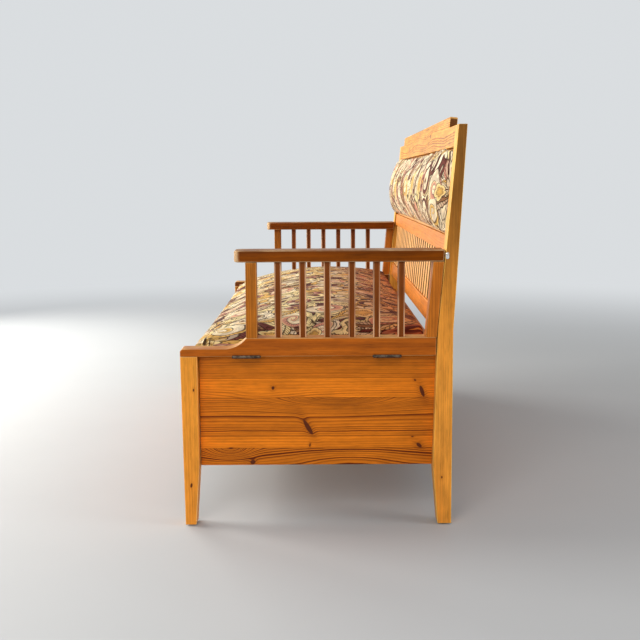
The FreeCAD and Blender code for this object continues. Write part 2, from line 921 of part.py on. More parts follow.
def crest_rail():
    """Top board with shoulders level with the posts and a raised middle."""
    body = new_body("crest_rail")
    shoulder = size.crest_shoulder_height / lean_cosine
    top = shoulder + size.crest_rise / lean_cosine
    step = outer - size.crest_step_distance
    points = [
        (-between_legs, NONE),
        (between_legs, NONE),
        (between_legs, shoulder),
        (step, shoulder),
        (step, top),
        (-step, top),
        (-step, shoulder),
        (-between_legs, shoulder),
    ]
    sketch = outline(body, "XZ_Plane", "crest_rail_face", points, {})
    plank = pad(body, sketch, size.crest_thickness, backwards=True)
    step_corners = [(step, top), (-step, top)]
    stepped = round_corners(body, plank, "crest_rail_steps", size.crest_step_radius, step_corners)
    ease(body, stepped, size.easing, curved=True)
    lean_place(body, NONE, crest_bottom, NONE)


leaning_board(
    "back_lower_rail", size.lower_rail_bottom, size.lower_rail_top, size.back_rail_inset, size.back_rail_thickness
)
leaning_board(
    "back_middle_rail", middle_rail_bottom, middle_rail_top, size.back_rail_inset,
    size.back_rail_thickness,
)
leaning_board(
    "back_cushion_board", middle_rail_top, crest_bottom, size.cushion_board_inset,
    size.cushion_board_thickness,
)
back_slats()
crest_rail()

# Cushions: crowned, with corners drawn back and long sides drawn in between them


def cushion(label, half_length, depth, shape):
    """A crowned cushion on its flat base, its long side along X and its depth along Y."""
    body = new_body(label)
    near_edge, far_edge, crown, draw_in, bulge, corner = shape
    shares = list(zip(STATION_SHARES, EDGE_SHARES, CROWN_SHARES, CORNER_SHARES, DRAW_IN_SHARES))
    stations = [(-share, *rest) for share, *rest in shares] + [(share, *rest) for share, *rest in shares[-2::-1]]
    sections = []
    for number, (station, edge_share, crown_share, corner_share, draw_share) in enumerate(stations):
        near_height = near_edge * edge_share
        far_height = far_edge * edge_share
        near = bulge + corner * corner_share + draw_in * draw_share
        far = depth - near
        near_arc = (circle_radius(near_height, bulge * edge_share), -1)
        far_arc = (circle_radius(far_height, bulge * edge_share), -1)
        span = far - near
        climb = far_height - near_height
        chord = function_of("sqrt", span * span + climb * climb)
        rise = crown * crown_share
        crown_radius = circle_radius(chord, rise)
        crown_centre = (near_height + far_height) / 2 - (crown_radius - rise) * span / chord
        crown_arc = (crown_radius, -1, crown_centre)
        points = [(near, NONE), (far, NONE), (far, far_height), (near, near_height)]
        arcs = {1: far_arc, 2: crown_arc, 3: near_arc}
        name = f"{label}_section_{number}"
        sections.append(outline(body, "YZ_Plane", name, points, arcs, offset=half_length * station))
    loft = body.newObject("PartDesign::AdditiveLoft", f"{label}_loft")
    loft.Profile = (sections[0], [""])
    loft.Sections = [(section, [""]) for section in sections[1:]]
    body.Tip = loft
    return body


seat_shape = (
    size.seat_cushion_front_height,
    size.seat_cushion_rear_height,
    size.seat_cushion_crown_rise,
    size.seat_cushion_draw_in,
    size.seat_cushion_side_bulge,
    size.seat_cushion_corner_inset,
)
seat_cushion_front = front + size.seat_cushion_front_inset
seat_cushion = cushion(
    "seat_cushion",
    between_legs - size.seat_cushion_end_gap,
    post_front - size.seat_cushion_rear_gap - seat_cushion_front,
    seat_shape,
)
place(seat_cushion, NONE, seat_cushion_front, size.deck_height + size.running_gap)

back_shape = (
    size.back_cushion_edge_height,
    size.back_cushion_edge_height,
    size.back_cushion_crown_rise,
    size.back_cushion_draw_in,
    size.back_cushion_side_bulge,
    size.back_cushion_corner_inset,
)
back_cushion_height = (crest_bottom - middle_rail_top) / lean_cosine - 2 * size.back_cushion_gap
back_cushion = cushion(
    "back_cushion", between_legs - size.back_cushion_gap, back_cushion_height, back_shape
)
lean_place(
    back_cushion,
    NONE,
    middle_rail_top + size.back_cushion_gap * lean_cosine,
    size.cushion_board_inset - size.running_gap,
    FACE_FORWARD_TURN,
)

# Every object has to be sound before a file is written

document.recompute()
failed = [item.Label for item in document.Objects if {"Invalid", "Error"} & set(item.State)]
if failed:
    raise RuntimeError(f"objects that failed: {failed}")
for piece in pieces:
    if piece.Shape.isNull() or not piece.Shape.isValid() or not piece.Shape.Solids:
        raise RuntimeError(f"no sound solid in {piece.Label}")

os.makedirs("parts", exist_ok=True)
for piece in pieces:
    piece.Shape.exportStep(os.path.join("parts", f"{piece.Label}.step"))
print(f"{len(pieces)} nodes written")
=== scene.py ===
import logging
import math
from dataclasses import dataclass, field
from enum import Enum

import bpy
import numpy as np
from mathutils import Matrix, Vector, noise


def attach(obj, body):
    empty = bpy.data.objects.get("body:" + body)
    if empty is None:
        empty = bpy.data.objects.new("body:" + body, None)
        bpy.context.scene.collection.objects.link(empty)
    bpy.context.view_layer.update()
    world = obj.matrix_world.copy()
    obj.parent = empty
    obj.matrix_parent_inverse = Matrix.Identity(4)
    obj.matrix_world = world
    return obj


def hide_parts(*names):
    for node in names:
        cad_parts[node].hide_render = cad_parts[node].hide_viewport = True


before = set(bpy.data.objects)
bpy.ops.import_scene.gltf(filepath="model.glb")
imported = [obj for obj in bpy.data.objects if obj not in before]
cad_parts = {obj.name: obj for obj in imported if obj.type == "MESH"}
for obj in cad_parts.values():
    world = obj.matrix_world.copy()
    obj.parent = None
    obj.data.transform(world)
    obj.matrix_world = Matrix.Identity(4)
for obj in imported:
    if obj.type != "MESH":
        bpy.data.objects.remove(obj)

log = logging.getLogger("bench bed")
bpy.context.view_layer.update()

Colour = tuple[float, float, float]


def srgb(red: int, green: int, blue: int) -> Colour:
    """Linear colour from the eight-bit numbers that a screen shows.

    Args:
        red, green, blue: the screen's numbers, 0 to 255.

    Returns:
        The colour in the linear numbers that a shader takes.
    """
    shares = (channel / 255 for channel in (red, green, blue))
    return tuple(s / 12.92 if s <= 0.04045 else ((s + 0.055) / 1.055) ** 2.4 for s in shares)


# Shader maths

class Term:
    """A number in a material, with Python's operators standing for Math nodes."""

    def __init__(self, shader: "Shader", socket: bpy.types.NodeSocket) -> None:
        """Keep the shader that the number belongs to and the socket that gives it."""
        self.shader = shader
        self.socket = socket

    def maths(self, operation: str, *others: "Term | float") -> "Term":
        """Add a Math node on this number.

        Args:
            operation: the Math node's operation.
            others: its second and third numbers, where it has them.

        Returns:
            The node's result.
        """
        inputs = dict(enumerate((self, *others)))
        return self.shader.number("ShaderNodeMath", {"operation": operation}, inputs)

    def __add__(self, other: "Term | float") -> "Term":
        """Sum."""
        return self.maths("ADD", other)

    __radd__ = __add__

    def __sub__(self, other: "Term | float") -> "Term":
        """Difference."""
        return self.maths("SUBTRACT", other)

    def __rsub__(self, other: float) -> "Term":
        """Difference from a plain number."""
        return self.shader.number("ShaderNodeMath", {"operation": "SUBTRACT"}, {0: other, 1: self})

    def __mul__(self, other: "Term | float") -> "Term":
        """Product."""
        return self.maths("MULTIPLY", other)

    __rmul__ = __mul__

    def __truediv__(self, other: "Term | float") -> "Term":
        """Quotient."""
        return self.maths("DIVIDE", other)

    def __pow__(self, other: "Term | float") -> "Term":
        """Power."""
        return self.maths("POWER", other)

    def __abs__(self) -> "Term":
        """Size without its sign."""
        return self.maths("ABSOLUTE")

    def floor(self) -> "Term":
        """Whole part."""
        return self.maths("FLOOR")

    def fract(self) -> "Term":
        """Part after the point."""
        return self.maths("FRACT")

    def root(self) -> "Term":
        """Square root."""
        return self.maths("SQRT")

    def sine(self) -> "Term":
        """Sine of an angle in radians."""
        return self.maths("SINE")

    def cosine(self) -> "Term":
        """Cosine of an angle in radians."""
        return self.maths("COSINE")

    def least(self, other: "Term | float") -> "Term":
        """The smaller of two numbers."""
        return self.maths("MINIMUM", other)

    def most(self, other: "Term | float") -> "Term":
        """The larger of two numbers."""
        return self.maths("MAXIMUM", other)

    def ease(self, low: float, high: float) -> "Term":
        """Climb smoothly from 0 at low to 1 at high, or fall where low is the larger.

        Args:
            low: the number that gives 0.
            high: the number that gives 1.

        Returns:
            The eased number.
        """
        settings = {"interpolation_type": "SMOOTHSTEP"}
        if low <= high:
            return self.shader.number("ShaderNodeMapRange", settings, {0: self, 1: low, 2: high, 3: 0.0, 4: 1.0})
        return self.shader.number("ShaderNodeMapRange", settings, {0: self, 1: high, 2: low, 3: 1.0, 4: 0.0})


Input = "Term | float | tuple | bpy.types.NodeSocket"


class Shader:
    """A material under construction: its node tree and the few ways that finishes build in it."""

    def __init__(self, name: str, world: bpy.types.World | None = None) -> None:
        """Start a material, or a world's shading, with an empty tree.

        Args:
            name: the material's name.
            world: the world, where it isn't a material.
        """
        self.material = world or bpy.data.materials.new(name)
        self.material.use_nodes = True
        self.tree = self.material.node_tree
        self.tree.nodes.clear()

    def node(self, kind: str, settings: dict | None = None, inputs: dict | None = None) -> bpy.types.Node:
        """Add a node.

        Args:
            kind: the node's type.
            settings: its properties, set first, with a ramp's stops under "stops".
            inputs: values or links for its sockets, by name or index.

        Returns:
            The node.
        """
        made = self.tree.nodes.new(kind)
        for name, value in (settings or {}).items():
            if name == "stops":
                self.set_stops(made.color_ramp, value)
            else:
                setattr(made, name, value)
        for key, value in (inputs or {}).items():
            socket = made.inputs[key]
            if isinstance(value, Term):
                self.tree.links.new(value.socket, socket)
            elif isinstance(value, bpy.types.NodeSocket):
                self.tree.links.new(value, socket)
            elif isinstance(value, tuple) and socket.type == "RGBA" and len(value) == 3:
                socket.default_value = (*value, 1.0)
            else:
                socket.default_value = value
        return made

    @staticmethod
    def set_stops(ramp: bpy.types.ColorRamp, stops: tuple) -> None:
        """Set a ramp's stops.

        Args:
            ramp: the ramp.
            stops: pairs of a place and a colour.
        """
        while len(ramp.elements) < len(stops):
            ramp.elements.new(1.0)
        for element, (place, colour) in zip(ramp.elements, stops):
            element.position = place
            element.color = (*colour, 1.0)

    def number(self, kind: str, settings: dict | None = None, inputs: dict | None = None,
               output: int | str = 0) -> Term:
        """Add a node and take one of its numbers.

        Args:
            kind, settings, inputs: as for node.
            output: the output's name or index.

        Returns:
            The number.
        """
        return Term(self, self.node(kind, settings, inputs).outputs[output])

    def vector(self, x: Input, y: Input, z: Input = 0.0) -> bpy.types.NodeSocket:
        """Join three numbers into a vector."""
        return self.node("ShaderNodeCombineXYZ", None, {0: x, 1: y, 2: z}).outputs[0]

    def parts(self, vector: bpy.types.NodeSocket) -> tuple[Term, Term, Term]:
        """Split a vector into its three numbers."""
        made = self.node("ShaderNodeSeparateXYZ", None, {0: vector})
        return tuple(Term(self, output) for output in made.outputs)

    def place(self) -> tuple[Term, Term, Term]:
        """Where a point is on the bench, in metres."""
        return self.parts(self.node("ShaderNodeTexCoord").outputs["Object"])

    def vector_maths(self, operation: str, first: Input, second: Input = (0, 0, 0)) -> bpy.types.NodeSocket:
        """Add a Vector Math node on two vectors.

        Args:
            operation: the node's operation.
            first, second: the vectors, or for SCALE a vector and a number.

        Returns:
            The resulting vector.
        """
        slot = 3 if operation == "SCALE" else 1
        return self.node("ShaderNodeVectorMath", {"operation": operation}, {0: first, slot: second}).outputs[0]

    def cloud(self, x: Input, y: Input, z: Input = 0.0, detail: float = 2.0, rough: float = 0.5) -> Term:
        """Smooth noise about 0.5, at coordinates that are already scaled.

        Args:
            x, y, z: coordinates, one unit to a swell.
            detail: how many finer layers it has.
            rough: how strong these are.

        Returns:
            The noise, mostly between 0.25 and 0.75.
        """
        inputs = {"Vector": self.vector(x, y, z), "Scale": 1.0, "Detail": detail, "Roughness": rough}
        return self.number("ShaderNodeTexNoise", None, inputs, "Fac")

    def chance(self, first: Input, second: Input = 0.0) -> Term:
        """A random number between 0 and 1 for each pair of numbers."""
        settings = {"noise_dimensions": "2D"}
        return self.number("ShaderNodeTexWhiteNoise", settings, {"Vector": self.vector(first, second)}, "Value")

    def mix(self, factor: Input, first: Input, second: Input, blend: str = "MIX") -> bpy.types.NodeSocket:
        """Mix two colours.

        Args:
            factor: how much of the second.
            first, second: the colours.
            blend: the way of mixing.

        Returns:
            The mixed colour.
        """
        settings = {"data_type": "RGBA", "blend_type": blend}
        return self.node("ShaderNodeMix", settings, {0: factor, 6: first, 7: second}).outputs[2]

    def shade(self, colour: Input, level: Term) -> bpy.types.NodeSocket:
        """Make a colour lighter or darker by a number."""
        return self.vector_maths("SCALE", colour, level)

    def seen(self) -> Term:
        """1 for the rays that show the backdrop: to the camera, in gloss and through glass."""
        path = self.node("ShaderNodeLightPath").outputs
        camera = Term(self, path["Is Camera Ray"])
        return camera.most(Term(self, path["Is Glossy Ray"])).most(Term(self, path["Is Transmission Ray"]))

    def finish(self, inputs: dict, height: Term | None = None, depth: float = 0.0005) -> bpy.types.Material:
        """Close the material with its shader.

        Args:
            inputs: values or links for the Principled shader.
            height: the relief, if any.
            depth: how deep the relief is, in metres.

        Returns:
            The finished material.
        """
        if height is not None:
            bump = self.node("ShaderNodeBump", None, {"Height": height, "Distance": depth, "Strength": 1.0})
            inputs = {**inputs, "Normal": bump.outputs[0]}
        shader = self.node("ShaderNodeBsdfPrincipled", None, inputs)
        self.node("ShaderNodeOutputMaterial", None, {0: shader.outputs[0]})
        return self.material


# Finishes

class Grain(Enum):
    """Which way a board's grain runs, with its across and through directions, as x, y, z indices."""

    LENGTH_UPRIGHT_FACE = (0, 2, 1)
    LENGTH_FLAT_FACE = (0, 1, 2)
    DEPTH_UPRIGHT_FACE = (1, 2, 0)
    DEPTH_FLAT_FACE = (1, 0, 2)
    UPRIGHT_END_FACE = (2, 1, 0)
    UPRIGHT_FRONT_FACE = (2, 0, 1)


@dataclass(frozen=True)
class Knot:
    """A knot: where it is along and across the grain, its half width, its length share and slant."""

    along: float
    across: float
    radius: float
    stretch: float = 1.4
    slant: float = 0.0


@dataclass(frozen=True)
class Swirl:
    """A place where the year rings surface and the lines close round it, with its middle darker by core."""

    along: float
    across: float
    length: float
    width: float
    rise: float
    board: int = 0
    core: float = 0.0


@dataclass(frozen=True)
class Pine:
    """Varnished old pine, with year-ring lines, knots, glued boards, worn arrises and painted highlight and shade.

    Tones are factors on the colour: board_tones for the glued boards from the lowest up, and painted shade in
    patina for an end face above patina_heights, end_face for a whole end face and inner_face for a side that
    faces inwards. Shares run from 0 to 1: end_cover is how far the end colour hides end grain, wear how far the
    arrises are worn and take a painted highlight, fore_wear how far the front takes a painted highlight, and
    top_wear how far the top is lightened to the worn colour.
    """

    name: str
    grain: Grain
    early: Colour
    late: Colour
    spacing: float = 0.0062
    sway: float = 0.022
    lines: float = 0.75
    figure: float = 1.0
    joints: tuple[float, ...] = ()
    board_tones: tuple[float, ...] = (1.0,)
    board_lines: tuple[float, ...] = (1.0,)
    knots: tuple[Knot, ...] = ()
    swirls: tuple[Swirl, ...] = ()
    seed: float = 0.0
    slat_pitch: float = 0.0
    # Painted shade: patina, patina_heights, end_face and inner_face darken faces.
    patina: float = 1.0
    patina_heights: tuple[float, float] = (0.42, 0.78)
    end_face: float = 1.0
    inner_face: float = 1.0
    # Painted highlight: fore_wear lightens the front; top_wear lightens the top faces.
    fore_wear: float = 0.0
    top_wear: float = 0.0
    roughness: float = 0.42
    shine: float = 0.11
    coat: float = 0.02
    coat_roughness: float = 0.22
    relief: float = 0.00045
    ripple_depth: float = 0.0034
    knot_lift: float = 1.6
    end: Colour = srgb(84, 42, 12)
    end_cover: float = 0.6
    # worn is the colour of worn varnish, and also of the painted highlights on arrises and fronts.
    worn: Colour = srgb(255, 216, 140)
    wear: float = 0.5
    knot_colour: Colour = srgb(84, 36, 14)

    def board_number(self, across: Term) -> Term:
        """Number the glued boards, counting from the lowest joint up.

        Args:
            across: the coordinate across the grain.

        Returns:
            The board's number.
        """
        number = across * 0.0
        for joint in self.joints:
            number = number + across.maths("GREATER_THAN", joint)
        return number

    def on_board(self, number: Term, board: int) -> Term | float:
        """1 on one of the glued boards and 0 on the others."""
        if not self.joints:
            return 1.0
        return abs(number - board).ease(0.51, 0.49)

    def by_board(self, number: Term, values: tuple[float, ...]) -> Term:
        """Pick a value for each glued board.

        Args:
            number: the board's number.
            values: a value for each board, from the lowest up.

        Returns:
            The value of the board that the point is on.
        """
        picked = number * 0.0 + values[0]
        for index in range(1, len(values)):
            picked = picked + number.maths("GREATER_THAN", index - 0.5) * (values[index] - values[index - 1])
        return picked

    def knot_distance(self, along: Term, across: Term, knot: Knot) -> Term:
        """Distance from a knot's middle, 1 at its rim.

        Args:
            along, across: coordinates on the board's face.
            knot: the knot.

        Returns:
            The distance in knot radii.
        """
        cosine = math.cos(knot.slant)
        sine = math.sin(knot.slant)
        right = along - knot.along
        up = across - knot.across
        lengthwise = (right * cosine + up * sine) / (knot.radius * knot.stretch)
        crosswise = (up * cosine - right * sine) / knot.radius
        return (lengthwise * lengthwise + crosswise * crosswise).root()

    def arris(self, facing: tuple[Term, Term, Term]) -> Term:
        """Find the arrises, where a hand, a shoe or a cloth wears the varnish away and where the rounded edges take
        a painted highlight.

        Args:
            facing: the direction that the surface faces, as three numbers.

        Returns:
            1 at a rounded arris, 0 on a face.
        """
        x, y, z = (abs(part) for part in facing)
        return (1 - x.most(y).most(z)).ease(0.025, 0.17)

    def swirled(self, rings: Term, run: tuple[Term, Term, Term], number: Term) -> tuple[Term, Term | None]:
        """Raise the year rings into their swirls.

        Args:
            rings: the coordinate that the year rings are counted on.
            run: coordinates along, across and through the grain.
            number: the board's number.

        Returns:
            The raised coordinate, and how much darker the swirls' middles are.
        """
        along, across, _ = run
        cores = None
        for swirl in self.swirls:
            right = (along - swirl.along) / swirl.length
            up = (across - swirl.across) / swirl.width
            hill = ((right * right + up * up) * -1.0).maths("EXPONENT")
            here = self.on_board(number, swirl.board)
            rings = rings + hill * swirl.rise * here
            if swirl.core:
                core = hill.ease(0.5, 0.64) * here * swirl.core
                cores = core if cores is None else cores + core
        return rings, cores

    def knotted(self, rings: Term, run: tuple[Term, Term, Term],
                ripple: Term) -> tuple[Term, Term | None, Term | None]:
        """Lead the year rings round the knots.

        Args:
            rings: the coordinate that the year rings are counted on.
            run: coordinates along, across and through the grain.
            ripple: small noise that makes the knots' rims uneven.

        Returns:
            The bent coordinate, the knots' mask and the darker wood round them.
        """
        along, across, _ = run
        mask, halo = None, None
        for knot in self.knots:
            distance = self.knot_distance(along, across, knot) + ripple * 0.5
            bend = (distance * distance * -0.35).maths("EXPONENT")
            rings = rings + bend * (knot.radius * self.knot_lift)
            inside = distance.ease(1.12, 0.82)
            around = (distance * distance * -0.22).maths("EXPONENT")
            mask = inside if mask is None else mask.most(inside)
            halo = around if halo is None else halo.most(around)
        return rings, mask, halo

    def year_line(self, s: Shader, rings: Term, number: Term, shift: Term, bands: Term) -> Term:
        """Draw the dark line that ends each year ring.

        Args:
            s: the shader under construction.
            rings: the coordinate that the year rings are counted on.
            number: the board's number.
            shift: a shift that gives each board its own noise.
            bands: broad bands that make the lines stronger and weaker.

        Returns:
            The line's strength.
        """
        stretch = s.cloud(rings * 30 + shift, 3.1, 0.0, 2.0)
        count = rings / self.spacing + stretch * 4.2
        phase = count.fract()
        line = phase.ease(0.25, 0.9) * phase.ease(1.0, 0.93)
        weight = s.chance(count.floor(), shift.floor())
        line = line * (weight * 0.8 + 0.2) * (bands.ease(0.25, 0.7) * 0.5 + 0.5)
        return (line * self.by_board(number, self.board_lines)).least(1.0)

    def aged(self, s: Shader, axes: tuple[Term, Term, Term], facing: tuple[Term, Term, Term],
             colour: Input) -> bpy.types.NodeSocket:
        """Darken the end grain in its own colour, and paint shade on the faces toward the ends and on the sides
        that face inwards.

        Args:
            s: the shader under construction.
            axes: the point's coordinates.
            facing: the direction that the surface faces.
            colour: the fresh wood's colour.

        Returns:
            The colour with its end grain and painted shade.
        """
        # Painted shade: faces toward the ends darker above patina_heights, and as a whole by end_face.
        to_end = abs(facing[0]).ease(0.6, 0.9)
        low, high = self.patina_heights
        dark = axes[2].ease(low, high) * (1 - self.patina) + (1 - self.end_face)
        colour = s.shade(colour, 1 - to_end * dark)
        end_grain = abs(facing[self.grain.value[0]]).ease(0.75, 0.95)
        colour = s.mix(end_grain * self.end_cover, colour, self.end)
        # Painted shade on the sides that face inwards.
        inward = (axes[0] * facing[0]).ease(-0.2, -0.5)
        return s.shade(colour, 1 - inward * (1 - self.inner_face))

    def rubbed(self, s: Shader, axes: tuple[Term, Term, Term], facing: tuple[Term, Term, Term]) -> Term:
        """Find where the worn colour goes: the arrises, worn and with a painted highlight, and on some pieces the
        front's painted highlight and the lighter top.

        Args:
            s: the shader under construction.
            axes: the point's coordinates.
            facing: the direction that the surface faces.

        Returns:
            How far the worn colour covers it, as wear and painted highlight.
        """
        # Painted highlight on faces turned to the front.
        fore = facing[1].ease(-0.12, -0.7) * self.fore_wear
        # Top faces lightened to the worn colour.
        top = facing[2].ease(0.5, 0.97) * self.top_wear
        patchy = s.cloud(axes[0] * 11, axes[1] * 11 + 5, axes[2] * 9, 3.0).ease(0.36, 0.62)
        return self.arris(facing).most(fore).most(top) * (patchy * 0.7 + 0.3)

    def make(self) -> bpy.types.Material:
        """Build the finish.

        Returns:
            The material.
        """
        s = Shader(self.name)
        axes = s.place()
        run = tuple(axes[index] for index in self.grain.value)
        along, across, through = run

        def drawn(length: float, width: float, detail: float, offset: float = 0.0, rough: float = 0.5) -> Term:
            """Noise about 0, drawn out along the grain, with so many swells to a metre along and across."""
            return s.cloud(along * length + shift, across * width, through * width + offset, detail, rough) - 0.5

        number = self.board_number(across)
        slat = (axes[0] / (self.slat_pitch or 1.0) + 0.5).floor()
        shift = (number + slat if self.slat_pitch else number) * 3.7 + self.seed
        wander = s.cloud(along * 1.5 + shift, across * 7, through * 7 + shift, 1.5) - 0.5
        ripple = s.cloud(along * 14, across * 34 + shift, through * 34, 2.0) - 0.5
        rings = across + through * 0.35 + wander * (2 * self.sway) + ripple * self.ripple_depth
        rings, cores = self.swirled(rings, run, number)
        rings, knot_mask, halo = self.knotted(rings, run, ripple)
        bands = drawn(0.9, 16, 2.0) + 0.5
        line = self.year_line(s, rings, number, shift, bands)

        fibre = drawn(7, 520, 2.0)
        fleck = drawn(34, 700, 0.0).ease(0.16, 0.28)
        streak = drawn(4.5, 190, 3.0)
        mottle = drawn(15, 58, 3.0, 3.0, 0.65)
        blush = drawn(2.2, 9, 2.0, 4.0)
        colour = s.mix(line * self.lines, self.early, self.late)
        colour = s.mix((blush * 2.2).ease(-0.5, 1.2) * 0.35, colour, self.late, "MULTIPLY")
        figure = (streak * 0.5 + mottle * 0.75 + fibre * 0.4) * self.figure
        tone = self.by_board(number, self.board_tones) * ((bands - 0.5) * 0.5 + figure + 1.0 - fleck * 0.2)
        if self.slat_pitch:
            tone = tone * (s.chance(slat, self.seed) * 0.24 + 0.88)
        for joint in self.joints:
            tone = tone * (1 - abs(across - joint).ease(0.0012, 0.0002) * 0.45)
        if cores is not None:
            tone = tone * (1 - cores)
        colour = s.shade(colour, tone)
        if knot_mask is not None:
            colour = s.mix(halo * 0.4, colour, self.late)
            colour = s.mix(knot_mask * 0.95, colour, self.knot_colour)

        facing = s.parts(s.node("ShaderNodeTexCoord").outputs["Normal"])
        colour = self.aged(s, axes, facing, colour)
        rubbed = self.rubbed(s, axes, facing)
        # Worn varnish and painted highlight, both in the worn colour.
        colour = s.mix(rubbed * self.wear, colour, self.worn)
        smear = s.cloud(along * 5, across * 18, through * 18 + 2, 3.0)
        gloss = smear * 0.24 + (self.roughness - 0.12) + line * 0.06 + rubbed * 0.12
        height = line * -0.35 + fibre * 0.35 + s.cloud(along * 8, across * 22, through * 22, 1.0) * 0.8
        if knot_mask is not None:
            height = height + knot_mask * 0.5
        inputs = {"Base Color": colour, "Roughness": gloss, "Specular IOR Level": self.shine,
                  "Coat Weight": self.coat, "Coat Roughness": self.coat_roughness}
        return s.finish(inputs, height, self.relief)


@dataclass(frozen=True)
class Tuck:
    """A place at both ends of a cushion where the cloth is pulled in, with its height and length as shares; the
    tapestry paints it dark as shade.
    """

    x: float
    y: float
    z: float
    radius: float
    tall: float = 2.2
    long: float = 1.0

    def distance(self, shader: Shader, x: Term, y: Term, z: Term) -> Term:
        """Distance from the tuck in a material, 1 at its rim, for its painted shade.

        Args:
            shader: the shader under construction.
            x, y, z: the point's coordinates.

        Returns:
            The distance in half widths.
        """
        place = shader.vector((abs(x) - self.x) / (self.radius * self.long), (y - self.y) / self.radius,
                              (z - self.z) / (self.radius * self.tall))
        return shader.number("ShaderNodeVectorMath", {"operation": "LENGTH"}, {0: place}, "Value")

    def pull(self, points: np.ndarray) -> np.ndarray:
        """How strongly each point is pulled in, 1 in the tuck's middle.

        Args:
            points: a cushion's points.

        Returns:
            The strengths.
        """
        off = np.column_stack((np.abs(points[:, 0]), points[:, 1], points[:, 2])) - (self.x, self.y, self.z)
        reach = (self.radius * self.long, self.radius, self.radius * self.tall)
        return np.exp(-((off / reach) ** 2).sum(axis=1))


